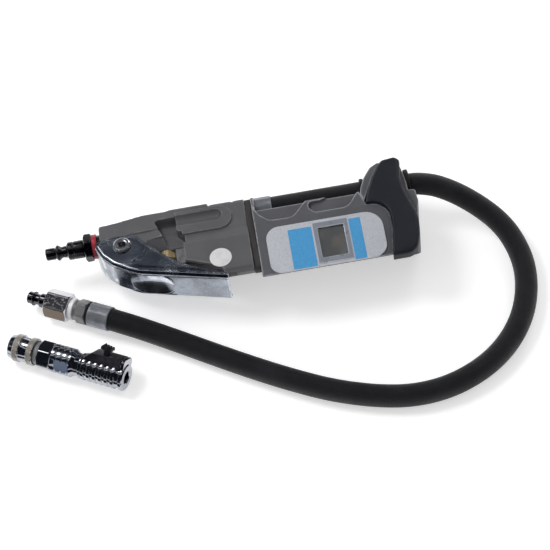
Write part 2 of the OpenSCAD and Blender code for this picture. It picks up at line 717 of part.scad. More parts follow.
module lever_form() {
    hull() for (a = [0 : 22.5 : 90]) {
        rise = bend_r * (1 - sin(a));
        along_z(lever_z + rise, lever_z + lever_w - rise)
            polygon(rounded(inset(lever_outline, bend_r * (1 - cos(a))), 5));
    }
}

module dimple(r) {
    rise = dimple_r - dimple_depth;
    translate([dimple_at.x, dimple_at.y, nose_mid_z]) rotate([90, 0, -blade_turn])
        hull() for (i = [0 : 5], s = [-4, 4]) {
            a = acos((rise - 1.5) / r) * i / 5;
            z = rise - r * cos(a);
            translate([s, 0, z]) cylinder(h = 2 - z, r = max(r * sin(a), 0.5), $fn = 36);
        }
}

module lever() {
    color([0.72, 0.74, 0.78]) intersection() {
        difference() {
            union() {
                difference() {
                    lever_form();
                    along_z(lever_z + sheet_t, lever_z + lever_w - sheet_t)
                        polygon(rounded(inset(lever_outline, sheet_t)));
                }
                intersection() {
                    lever_form();
                    dimple(dimple_r + sheet_t);
                }
            }
            dimple(dimple_r);
            // opening between the ears for the inlet plug
            along_z(lever_z + sheet_t, lever_z + lever_w - sheet_t) polygon([
                [-far, web_y], [nose_x + 4.5, web_y], [nose_x + 4.5, 40], [-far, 40]]);
            translate([pivot.x, pivot.y, -1]) cylinder(h = far, r = pivot_d / 2 + running_gap);
        }
        along_z(0, far) polygon(rounded([
            [nose_x - 20.5, -60, 0], [lever_end, -60, 0], [lever_end, -28.5, 1],
            [lever_end - 3.2, -23.3, 2], [nose_x + 50.5, -12.1, 20],
            [nose_x + 39.6, -1.9, 20], [nose_x + 28.8, 9.6, 4], [nose_x + 23.6, 16.2, 6],
            [nose_x + 10, 17.2, 10], [nose_x - 2, 16.4, 3], [nose_x - 7.5, 11, 0],
            [nose_x - 20.5, 11, 0]]));
    }
}

module lever_pin() {
    head_t = 1.5;
    lo = lever_z - gap;
    hi = lever_z + lever_w + gap;
    shank = pivot_d / 2;
    head = pivot_head_d / 2;
    color([0.8, 0.8, 0.83]) translate([pivot.x, pivot.y, 0]) rotate_extrude() polygon([
        [2.6, lo - head_t], [head - 0.8, lo - head_t], [head, lo - head_t + 0.7],
        [head, lo], [shank, lo], [shank, hi], [head, hi], [head, hi + head_t - 0.7],
        [head - 0.8, hi + head_t], [2.6, hi + head_t]]);
}

// ---- Free hose and the plug on its end ----------------------------------------------

end_tip = [-145.2, 1.8, 10.3];
end_turn = -28.5;
end_l = 61.2;
free_route = [
    [122, 26.8, 30], [129, 26.2, 29.6], [138.6, 23.8, 28], [148.4, 19.6, 25],
    [158, 13.8, 21.4], [167, 6.4, 18], [175, -2.6, 15.2], [181, -13, 12.8],
    [184.8, -25, 10.8], [186.4, -38, 9.4], [185.4, -51, 8.4], [182.2, -64, 7.8],
    [177, -76.4, 7.5], [169.8, -87.8, 7.5], [160.8, -98, 7.5], [150.2, -106.6, 7.5],
    [138.2, -113.4, 7.5], [125.2, -118.4, 7.5], [111.8, -121.2, 7.5], [98, -121.8, 7.5],
    [84, -120.2, 7.5], [66, -115.6, 7.5], [44, -107.2, 7.5], [20, -94.8, 7.5],
    [-4, -80.6, 7.5], [-26, -66.6, 7.5], [-48, -52.4, 7.7], [-70, -39.2, 9],
    [-82, -32.6, 9.9],
    [end_tip.x + end_l * cos(end_turn), end_tip.y + end_l * sin(end_turn), end_tip.z]];

// Tube with 12 sides swept along a route; its first and last rings stand square
module swept_tube(route, r, sides = 12) {
    n = len(route);
    dir = [for (i = [0 : n - 1]) i == 0 ? [1, 0, 0]
        : i == n - 1 ? -[cos(end_turn), sin(end_turn), 0]
        : unit(route[i + 1] - route[i - 1])];
    rings = [for (i = [0 : n - 1])
        let (side = unit(cross([0, 0, 1], dir[i])), up = cross(dir[i], side))
        each [for (k = [0 : sides - 1])
            route[i] + r * (cos(360 * k / sides) * side + sin(360 * k / sides) * up)]];
    faces = [
        [for (k = [0 : sides - 1]) k],
        each [for (i = [0 : n - 2]) each [for (k = [0 : sides - 1])
            let (a = i * sides + k, b = i * sides + (k + 1) % sides)
            each [[a, a + sides, b], [b, a + sides, b + sides]]]],
        [for (k = [sides - 1 : -1 : 0]) (n - 1) * sides + k]];
    polyhedron(rings, faces);
}

module free_hose() {
    color([0.08, 0.08, 0.09]) swept_tube(free_route, hose_d / 2);
}

// Place children along the plug assembly, with x from the plug's tip
module at_end() {
    translate(end_tip) rotate([0, 0, end_turn]) children();
}

end_hex_x = [14.6, 31.4];
end_nut_x = 34.6;
end_seal_x = 44.4;
end_ferrule_x = 46.4;

module end_plug() {
    color([0.55, 0.56, 0.6]) at_end() difference() {
        union() {
            turned_x([[0, 0], [0, 3.6], [0.6, 4.15], [3.8, 4.15], [4, 4.8], [4.6, 5],
                [5.2, 4.8], [5.6, 3.7], [8.6, 3.7], [9.2, 4.6], [9.8, 4.9], [14.8, 4.9],
                [14.8, 0]]);
            hex_x(end_hex_x[0], end_hex_x[1], conn_hex, -11.7);
        }
        rod_x(-1, 40, 2);
    }
}

module end_collar() {
    color([0.92, 0.92, 0.93]) at_end() difference() {
        turned_x([[end_hex_x[1], 0], [end_hex_x[1], 6.9], [end_hex_x[1] + 0.4, 7.2],
                  [end_nut_x - 0.4, 7.2], [end_nut_x, 6.9], [end_nut_x, 0]]);
        rod_x(-1, 60, 2);
    }
}

module end_nut() {
    color([0.5, 0.5, 0.52]) at_end() difference() {
        union() {
            turned_x([[end_nut_x, 0], [end_nut_x, 6.4], [end_nut_x + 0.8, 6.9],
                      [end_nut_x + 4, 6.9], [end_nut_x + 4, 0]]);
            hex_x(end_nut_x + 3, end_seal_x, 15, -5, 0.8);
        }
        rod_x(-1, 60, 2);
    }
}

module end_seal() {
    color([0.05, 0.05, 0.06]) at_end() difference() {
        turned_x([[end_seal_x, 0], [end_seal_x, 7.7], [end_seal_x + 0.6, 8.3],
                  [end_ferrule_x - 0.6, 8.3], [end_ferrule_x, 7.7], [end_ferrule_x, 0]]);
        rod_x(-1, 60, 2);
    }
}

module end_ferrule() {
    color([0.75, 0.76, 0.78]) at_end() translate([end_ferrule_x, 0, 0]) difference() {
        intersection() {
            turned_x([[0, 0], [0, ferrule_d / 2 - 0.6], [0.6, ferrule_d / 2],
                      [end_l - end_ferrule_x - 0.5, ferrule_d / 2],
                      [end_l - end_ferrule_x, ferrule_d / 2 - 0.4],
                      [end_l - end_ferrule_x, 0]]);
            rotate([12, 0, 0]) rotate([0, 90, 0])
                cylinder(h = 40, d = ferrule_d * 1.035, $fn = 10);
        }
        rod_x(-1, 8, 2);
    }
}

// ---- Loose connector ------------------------------------------------------------------

conn_pos = [-159.7, -34.3, 9.9];
conn_turn = -28.3;
conn_roll = -45;                              // lean of the shell away from the lever
body_r = 6.9;                                 // outside of the coupler body
hex_at = [22.6, 32.2];
neck_end = 52.3;
barrel_end = 84.8;
rib_pitch = 4.3;
shell_x = [54.3, 81.6];
shell_w = 13;

// Place children on the connector: x along it, z up its shell
module at_connector() {
    translate(conn_pos) rotate([0, 0, conn_turn]) rotate([conn_roll, 0, 0]) children();
}

module coupler_body() {
    color([0.6, 0.6, 0.63]) at_connector() difference() {
        turned_x([[0.8, 0], [0.8, body_r - 0.6], [1.4, body_r], [19.6, body_r],
                  [19.6, 7.9], [hex_at[0], 7.9], [hex_at[0], 0]]);
        rod_x(-1, 17, socket_r);
        rod_x(-1, 40, bore_r);
        for (a = [30 : 60 : 330]) rotate([a, 0, 0]) translate([6, 0, 4.4])
            cylinder(h = 5, r = ball_r + seat);
    }
}

socket_r = 5.2;                               // bore that takes the quick plug
ball_r = 0.7;

module coupler_balls() {
    color([0.85, 0.85, 0.87]) at_connector() for (a = [30 : 60 : 330])
        rotate([a, 0, 0]) translate([6, 0, socket_r + ball_r + 0.02]) sphere(r = ball_r);
}

module coupler_sleeve() {
    band = band_d / 2;
    color([0.7, 0.71, 0.74]) at_connector() difference() {
        turned_x([[1, 0], [1, 7.9], [2.6, 8.3], [4.6, 8.6], [4.8, band], [8.8, band],
                  [9.2, 8.5], [14.6, 8.5], [15, band], [18.8, band], [19.3, 8.8], [19.3, 0]]);
        rod_x(0, 4.4, 7.3);
        rod_x(-1, 30, body_r + running_gap);
        rod_x(15.4, 30, 8.2);
    }
}

module connector_hex() {
    color([0.55, 0.56, 0.6]) at_connector() difference() {
        hex_x(hex_at[0], hex_at[1], conn_hex, 3.3);
        rod_x(0, 60, bore_r);
    }
}

module connector_neck() {
    color([0.7, 0.71, 0.74]) at_connector() difference() {
        turned_x([[hex_at[1], 0], [hex_at[1], 9], [hex_at[1] + 0.5, 9.65],
            each [for (g = [0 : 2], q = [[3.6, 9.65], [3.9, 9.1], [4.3, 9.1], [4.6, 9.65]])
                [hex_at[1] + q[0] + g * rib_pitch, q[1]]],
            [46.6, 9.65], [47.2, 9.3], [49.2, 7.8], [neck_end, 7.7], [neck_end, 0]]);
        rod_x(0, 60, bore_r);
        for (a = [-75.3, 104.7]) rotate([-a, 0, 0])
            translate([hex_at[1] + 1.2, -8, 8.48]) cube([12.8, 16, 5]);
    }
}

module connector_barrel() {
    r = barrel_d / 2;
    color([0.7, 0.71, 0.74]) at_connector() difference() {
        union() {
            turned_x([[neck_end, 0], [neck_end, 8.2], [neck_end + 0.5, 8.7],
                [neck_end + 1.5, 8.7], [neck_end + 2, 8],
                each [for (g = [0 : rib_count - 1], q = [[0, 8.4], [0.5, r], [2.6, r], [3.1, 8.4]])
                    [neck_end + 2.2 + q[0] + g * rib_pitch, q[1]]],
                [shell_x[1], 8.4], [shell_x[1] + 0.5, r], [barrel_end - 0.8, r],
                [barrel_end, r - 0.8], [barrel_end, 0]]);
            // end plate that closes the shell
            along_x(shell_x[1] + seat, barrel_end - 0.8) polygon(rounded([
                [-shell_w / 2 - 0.5, 0, 0], [-shell_w / 2 - 0.5, shell_h + 0.4, 3],
                [shell_w / 2 + 0.5, shell_h + 0.4, 3], [shell_w / 2 + 0.5, 0, 0]]));
        }
        rod_x(seal_x[1], far, mouth_d / 2);
        rod_x(seal_x[0], seal_x[1] + hair, mouth_d / 2 + 0.4);
        rod_x(0, far, bore_r);
    }
}

module mouth_seal() {
    color([0.1, 0.1, 0.1]) at_connector() difference() {
        rod_x(seal_x[0], seal_x[1], mouth_d / 2 + 0.4 - seat);
        rod_x(70, far, 1.8);
    }
}

seal_x = [72, 75.8];                          // seal inside the mouth
tab_at = [68.4, 11];                          // hinge pin of the thumb tab, as [x, z]
tab_pin_r = 0.8;

module connector_shell() {
    color([0.1, 0.1, 0.12]) at_connector() difference() {
        intersection() {
            along_y(-shell_w / 2, shell_w / 2) polygon(rounded([
                [shell_x[0], 3, 0], [shell_x[0], 6.4, 1.5], [shell_x[0] + 5.6, shell_h, 3],
                [shell_x[1], shell_h, 0], [shell_x[1], 3, 0]]));
            along_x(0, 100) polygon(rounded([
                [-shell_w / 2, 0, 0], [-shell_w / 2, shell_h, 2.5],
                [shell_w / 2, shell_h, 2.5], [shell_w / 2, 0, 0]]));
        }
        rod_x(0, 100, barrel_d / 2 + seat);
        translate([tab_at.x - 4, -2.6, 0]) cube([8, 5.2, 20]);
        translate([tab_at.x, -20, tab_at.y]) rotate([-90, 0, 0])
            cylinder(h = 40, r = tab_pin_r + seat);
    }
}

module tab_pin() {
    color([0.7, 0.7, 0.72]) at_connector() translate([tab_at.x, -5.8, tab_at.y])
        rotate([-90, 0, 0]) cylinder(h = 11.6, r = tab_pin_r);
}

module thumb_tab() {
    color([0.1, 0.1, 0.12]) at_connector() translate([tab_at.x, 0, tab_at.y]) difference() {
        union() {
            translate([0, -2.3, 0]) rotate([-90, 0, 0]) cylinder(h = 4.6, r = 1.45);
            translate([-1.4, -2.3, 0]) cube([2.8, 4.6, 4.2]);
            translate([0, 0, 4.2]) rotate([0, 10, 0]) {
                translate([-4, -4, 0]) cube([7.8, 8, 1.6]);
                for (i = [0 : 3]) translate([-3.6 + 1.9 * i, -4, 1.5]) cube([1.1, 8, 0.8]);
            }
        }
        translate([0, -20, 0]) rotate([-90, 0, 0]) cylinder(h = 40, r = tab_pin_r + running_gap);
    }
}

valve_housing();
display_housing();
seam_gasket();
end_cover();
end_bumper();
housing_screws();
label_plate();
label_stripes();
window_frame();
display_lens();
lcd_screen();
circuit_board();
pressure_sensor();
battery_cells();
battery_contacts();
valve_block();
valve_gland();
gland_bracket();
lever();
lever_pin();
inflate_plunger();
inlet_plug();
inlet_ring();
hose_tail();
tail_ferrule();
channel_hose();
hose_grommet();
free_hose();
end_ferrule();
end_seal();
end_nut();
end_collar();
end_plug();
coupler_body();
coupler_sleeve();
coupler_balls();
connector_hex();
connector_neck();
connector_barrel();
connector_shell();
mouth_seal();
thumb_tab();
tab_pin();
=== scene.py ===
# %% [markdown]
# # A hand-held tyre inflator, dressed for its picture
# The solids of the tool come from its CAD model and stay where they are. This
# lesson gives each piece its visible shape and its finish: moulded plastic,
# rubber, plated steel, brass and a printed label. All lengths here are written
# in millimetres, as on a drawing, and become metres when a mesh is made.

# %% Load the frame
import math
import bpy
import bmesh
from mathutils import Matrix, Vector
from mathutils.geometry import delaunay_2d_cdt


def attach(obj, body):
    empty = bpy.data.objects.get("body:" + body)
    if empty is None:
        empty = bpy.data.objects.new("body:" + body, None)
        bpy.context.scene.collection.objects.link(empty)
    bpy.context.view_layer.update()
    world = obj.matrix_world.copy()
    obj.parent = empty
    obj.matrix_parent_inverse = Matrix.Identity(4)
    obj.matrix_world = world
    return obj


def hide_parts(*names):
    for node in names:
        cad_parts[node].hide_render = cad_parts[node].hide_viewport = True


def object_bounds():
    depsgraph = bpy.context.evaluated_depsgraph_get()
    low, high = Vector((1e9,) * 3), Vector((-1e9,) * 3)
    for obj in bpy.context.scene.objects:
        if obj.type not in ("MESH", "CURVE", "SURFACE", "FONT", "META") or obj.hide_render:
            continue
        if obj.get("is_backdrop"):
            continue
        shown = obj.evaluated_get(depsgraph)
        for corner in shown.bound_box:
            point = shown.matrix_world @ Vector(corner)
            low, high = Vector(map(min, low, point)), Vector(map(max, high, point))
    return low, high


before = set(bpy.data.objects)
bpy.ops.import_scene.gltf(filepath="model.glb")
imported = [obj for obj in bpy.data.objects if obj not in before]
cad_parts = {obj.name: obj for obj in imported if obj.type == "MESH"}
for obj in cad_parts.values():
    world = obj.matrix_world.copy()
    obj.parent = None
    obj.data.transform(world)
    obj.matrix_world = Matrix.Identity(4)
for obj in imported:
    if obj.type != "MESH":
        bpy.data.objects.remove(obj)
cad_box = [list(corner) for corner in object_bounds()]
MM = 0.001
scene = bpy.context.scene
print("CAD nodes:", len(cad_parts), "CAD box:", cad_box)

# %% [markdown]
# ## Camera
# The tool lies on its back and is seen from the lever's side, from 56 degrees
# above the bench, with the camera rolled a little so that the tool climbs to the
# right. A long lens from 1.15 m keeps the perspective gentle. The camera's
# matrix is built from its three axes, which is clearer than three angles.

# %% Camera
LOOK_AT = Vector((21.9, -21, 20)) * MM
CAMERA_HEIGHT = math.radians(56)
CAMERA_ROLL = math.radians(9.7)
CAMERA_DISTANCE = 1.15
FRAME_WIDTH = 0.36685


def make_camera():
    back = Vector((0, -math.cos(CAMERA_HEIGHT), math.sin(CAMERA_HEIGHT)))
    side = Vector((1, 0, 0))
    rise = Vector((0, math.sin(CAMERA_HEIGHT), math.cos(CAMERA_HEIGHT)))
    right = math.cos(CAMERA_ROLL) * side - math.sin(CAMERA_ROLL) * rise
    up = math.sin(CAMERA_ROLL) * side + math.cos(CAMERA_ROLL) * rise
    data = bpy.data.cameras.new("camera")
    data.sensor_width = 36
    data.lens = data.sensor_width * CAMERA_DISTANCE / FRAME_WIDTH
    camera = bpy.data.objects.new("camera", data)
    scene.collection.objects.link(camera)
    place = Matrix((right, up, back)).transposed().to_4x4()
    place.translation = LOOK_AT + CAMERA_DISTANCE * back
    camera.matrix_world = place
    scene.camera = camera
    return camera


camera = make_camera()
print("camera lens:", round(camera.data.lens, 1), "mm")

# %% [markdown]
# ## Mesh helpers
# Most pieces are turned on a lathe or milled from hexagonal bar. Both are made
# by one helper: a list of stations along the axis, each with a radius that may
# change with the angle. A station with radius 0 closes the end with a pole.
# Corners of a profile are eased with small arcs first, because real edges are
# never perfectly sharp and it is these arcs that catch the light.

# %% Mesh helpers
SIDES = 96
AIR_PLACE = Matrix.Translation((0, 22, 26.7))
HOSE_PLACE = Matrix.Translation((0, 26.8, 30))
END_PLACE = Matrix.Translation((-145.2, 1.8, 10.3)) @ Matrix.Rotation(
    math.radians(-28.5), 4, "Z")
CONNECTOR_PLACE = (Matrix.Translation((-159.7, -34.3, 9.9))
                   @ Matrix.Rotation(math.radians(-28.3), 4, "Z")
                   @ Matrix.Rotation(math.radians(-45), 4, "X"))
PIVOT = Vector((-75.4, 9.2))
LABEL_TILT = math.radians(6.6)
METRES = Matrix.Diagonal((MM, MM, MM, 1))


def add_object(name, mesh, material=None):
    piece = bpy.data.objects.new(name, mesh)
    scene.collection.objects.link(piece)
    if material:
        mesh.materials.append(material)
    return piece


def mesh_from(name, verts, faces, place=Matrix.Identity(4), sharp=35):
    """Mesh in metres from points in millimetres, smooth except at sharp angles."""
    mesh = bpy.data.meshes.new(name)
    mesh.from_pydata([METRES @ place @ Vector(v) for v in verts], [], faces)
    mesh.validate()
    work = bmesh.new()
    work.from_mesh(mesh)
    bmesh.ops.remove_doubles(work, verts=work.verts, dist=1e-7)
    bmesh.ops.recalc_face_normals(work, faces=work.faces)
    work.to_mesh(mesh)
    work.free()
    mesh.shade_smooth()
    mesh.set_sharp_from_angle(angle=math.radians(sharp))
    return mesh


def declare(piece, body, slot, *nodes):
    """Say what a piece rides on and hide the CAD parts that it stands for; the slot is not
    used.
    """
    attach(piece, body)
    if nodes:
        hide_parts(*nodes)
    return piece


def eased(profile, radius, steps=3):
    """Profile with each corner replaced by an arc of at most this radius."""
    pts = [Vector(p) for p in profile]
    out = [pts[0]]
    for before, here, after in zip(pts, pts[1:], pts[2:]):
        u, v = before - here, after - here
        if min(u.length, v.length) < 1e-6:
            out.append(here)
            continue
        half = u.angle(v) / 2
        if half > math.radians(86) or half < math.radians(3):
            out.append(here)
            continue
        run = min(radius / math.tan(half), 0.45 * u.length, 0.45 * v.length)
        a, b = here + u.normalized() * run, here + v.normalized() * run
        for i in range(steps + 1):
            t = i / steps
            out.append((1 - t) ** 2 * a + 2 * t * (1 - t) * here + t * t * b)
    out.append(pts[-1])
    return [tuple(p) for p in out]


def spun(name, stations, place, sides=SIDES, sharp=38):
    """Closed mesh round X from (x, radius) stations; a radius may be a function."""
    verts, rings, faces = [], [], []
    for x, radius in stations:
        if radius == 0:
            rings.append([len(verts)])
            verts.append((x, 0, 0))
            continue
        ring = []
        for k in range(sides):
            angle = 2 * math.pi * k / sides
            r = radius(angle) if callable(radius) else radius
            ring.append(len(verts))
            verts.append((x, r * math.cos(angle), r * math.sin(angle)))
        rings.append(ring)
    for a, b in zip(rings, rings[1:]):
        for k in range(sides):
            n = (k + 1) % sides
            if len(a) == 1:
                faces.append((a[0], b[n], b[k]))
            elif len(b) == 1:
                faces.append((a[k], a[n], b[0]))
            else:
                faces.append((a[k], a[n], b[n], b[k]))
    if len(rings[0]) > 1:
        a, b = rings[-1], rings[0]
        faces += [(a[k], a[(k + 1) % sides], b[(k + 1) % sides], b[k])
                  for k in range(sides)]
    return mesh_from(name, verts, faces, place, sharp)


def hexagon(across, turn=0, blunt=0.25):
    """Radius of a hexagonal bar against the angle, with slightly blunt corners."""
    def radius(angle):
        a = (angle - math.radians(turn)) % (math.pi / 3) - math.pi / 6
        return min(across / 2 / math.cos(a), across / math.sqrt(3) - blunt)
    return radius


def limited(shape, most):
    """The same cross section, cut down to a circle where it is larger."""
    return lambda angle: min(shape(angle), most)


def hex_stations(x0, x1, across, turn, chamfer=1.0):
    """Stations of a hexagonal bar whose corners are turned off at both ends."""
    shape = hexagon(across, turn)
    flat, corner = across / 2, across / math.sqrt(3)
    steps = [i / 6 for i in range(7)]
    rise = [(x0 + chamfer * t, limited(shape, flat - 0.2 + (corner - flat + 0.2) * t))
            for t in steps]
    fall = [(x1 - chamfer * t, limited(shape, flat - 0.2 + (corner - flat + 0.2) * t))
            for t in reversed(steps)]
    return rise + fall


def bevelled(piece, width, segments=3, angle=35):
    """Round the sharp edges of a piece with a live Bevel modifier."""
    mod = piece.modifiers.new("rounding", "BEVEL")
    mod.width = width * MM
    mod.segments = segments
    mod.limit_method = "ANGLE"
    mod.angle_limit = math.radians(angle)
    mod.harden_normals = True
    return piece


def arc_corner(a, p, b, radius, steps):
    u, v = (a - p).normalized(), (b - p).normalized()
    half = u.angle(v) / 2
    run = radius / math.tan(half)
    centre = p + (u + v).normalized() * radius / math.sin(half)
    start, end = p + u * run - centre, p + v * run - centre
    first = math.atan2(start.y, start.x)
    turn = (math.atan2(end.y, end.x) - first + 3 * math.pi) % (2 * math.pi) - math.pi
    return [centre + radius * Vector((math.cos(first + turn * i / steps),
                                      math.sin(first + turn * i / steps)))
            for i in range(steps + 1)]


def rounded(points, steps=8):
    """Closed outline from (x, y, corner radius) points."""
    out = []
    for i, (x, y, radius) in enumerate(points):
        a, b = points[i - 1], points[(i + 1) % len(points)]
        here = Vector((x, y))
        if radius > 0:
            out += arc_corner(Vector(a[:2]), here, Vector(b[:2]), radius, steps)
        else:
            out.append(here)
    return [tuple(p) for p in out]


def prism(name, outline, z0, z1, place=Matrix.Identity(4), sharp=35):
    """Plate of a closed outline between two heights."""
    n = len(outline)
    verts = [(x, y, z) for z in (z0, z1) for x, y in outline]
    faces = [tuple(range(n))[::-1], tuple(range(n, 2 * n))]
    faces += [(k, (k + 1) % n, n + (k + 1) % n, n + k) for k in range(n)]
    return mesh_from(name, verts, faces, place, sharp)


def piece(name, mesh, finish, body, slot, *nodes):
    """Put a mesh in the scene, with its finish and all that is said about it."""
    return declare(add_object(name, mesh, finish.mat), body, slot, *nodes)


def turned(name, stations, place, finish, slot, *nodes, body="inflator", sides=SIDES):
    """Put a turned piece in the scene."""
    return piece(name, spun(name, stations, place, sides), finish, body, slot, *nodes)


def inside(p, loop):
    """Whether a flat point lies within a closed outline."""
    odd = False
    for a, b in zip(loop, loop[1:] + loop[:1]):
        if (a[1] > p[1]) != (b[1] > p[1]):
            if p[0] < a[0] + (p[1] - a[1]) / (b[1] - a[1]) * (b[0] - a[0]):
                odd = not odd
    return odd


def face_middle(face, verts):
    return sum((verts[i] for i in face), Vector((0, 0))) / len(face)


print("helpers ready")

# %% [markdown]
# ## The free hose
# The hose leaves the grip level, sinks under its own weight until it lies on the
# bench and comes back in one loop. A tube swept along its route, with a UV map
# in metres, lets the cloth mark in the rubber run along the hose and round it.

# %% Free hose
HOSE_R = 7.5
END_X = 61.2
hose_end = END_PLACE @ Vector((END_X, 0, 0))
ROUTE = [
    (122, 26.8, 30), (129, 26.2, 29.6), (138.6, 23.8, 28), (148.4, 19.6, 25),
    (158, 13.8, 21.4), (167, 6.4, 18), (175, -2.6, 15.2), (181, -13, 12.8),
    (184.8, -25, 10.8), (186.4, -38, 9.4), (185.4, -51, 8.4), (182.2, -64, 7.8),
    (177, -76.4, 7.5), (169.8, -87.8, 7.5), (160.8, -98, 7.5), (150.2, -106.6, 7.5),
    (138.2, -113.4, 7.5), (125.2, -118.4, 7.5), (111.8, -121.2, 7.5),
    (98, -121.8, 7.5), (84, -120.2, 7.5), (66, -115.6, 7.5), (44, -107.2, 7.5),
    (20, -94.8, 7.5), (-4, -80.6, 7.5), (-26, -66.6, 7.5), (-48, -52.4, 7.7),
    (-70, -39.2, 9), (-82, -32.6, 9.9), tuple(hose_end)]


def smooth_path(points, first, last, steps=10):
    """Points on a Catmull-Rom curve, with given directions at its two ends."""
    pts = [Vector(p) for p in points]
    ghost = ([pts[0] - Vector(first) * (pts[1] - pts[0]).length] + pts
             + [pts[-1] + Vector(last) * (pts[-1] - pts[-2]).length])
    out = []
    for a, b, c, d in zip(ghost, ghost[1:], ghost[2:], ghost[3:]):
        for i in range(steps):
            t = i / steps
            out.append(0.5 * (2 * b + (c - a) * t + (2 * a - 5 * b + 4 * c - d) * t ** 2
                              + (3 * b - a - 3 * c + d) * t ** 3))
    out.append(pts[-1])
    return out


def tube(name, path, radius, sides=48):
    """Closed tube along a path, with its UV map in metres along and round it."""
    side = Vector((0, 1, 0))
    verts, faces, run = [], [], [0]
    for i, p in enumerate(path):
        a, b = path[max(i - 1, 0)], path[min(i + 1, len(path) - 1)]
        ahead = (b - a).normalized()
        side = (side - ahead * side.dot(ahead)).normalized()
        up = ahead.cross(side)
        for k in range(sides):
            angle = 2 * math.pi * k / sides
            verts.append(p + radius * (math.cos(angle) * side + math.sin(angle) * up))
        if i:
            run.append(run[-1] + (p - path[i - 1]).length)
    for i in range(len(path) - 1):
        for k in range(sides):
            n = (k + 1) % sides
            a, b = i * sides, (i + 1) * sides
            faces.append((a + k, a + n, b + n, b + k))
    walls = len(faces)
    faces.append(tuple(range(sides))[::-1])
    faces.append(tuple((len(path) - 1) * sides + k for k in range(sides)))
    mesh = bpy.data.meshes.new(name)
    mesh.from_pydata([METRES @ Vector(v) for v in verts], [], faces)
    uv = mesh.uv_layers.new(name="along")
    round_step = 2 * math.pi * radius / sides
    for face in mesh.polygons[:walls]:
        ring, k = divmod(face.index, sides)
        corners = ((ring, k), (ring, k + 1), (ring + 1, k + 1), (ring + 1, k))
        for loop, (i, j) in zip(face.loop_indices, corners):
            uv.data[loop].uv = (run[i] * MM, j * round_step * MM)
    mesh.shade_smooth()
    mesh.set_sharp_from_angle(angle=math.radians(60))
    return mesh, run[-1]


end_way = (END_PLACE.to_3x3() @ Vector((-1, 0, 0))).normalized()
hose_path = smooth_path(ROUTE, (1, 0, 0), end_way)
hose_mesh, hose_length = tube("hose", hose_path, HOSE_R)
free_hose = add_object("hose", hose_mesh)
declare(free_hose, "inflator", "hose_rubber", "free_hose")

held_hose = add_object("hose_in_grip", tube(
    "hose_in_grip", [Vector((13.9 + i * 6.0056, 26.8, 30)) for i in range(19)],
    HOSE_R)[0])
declare(held_hose, "inflator", "hose_rubber", "channel_hose")
print("free hose:", round(hose_length, 1), "mm long")
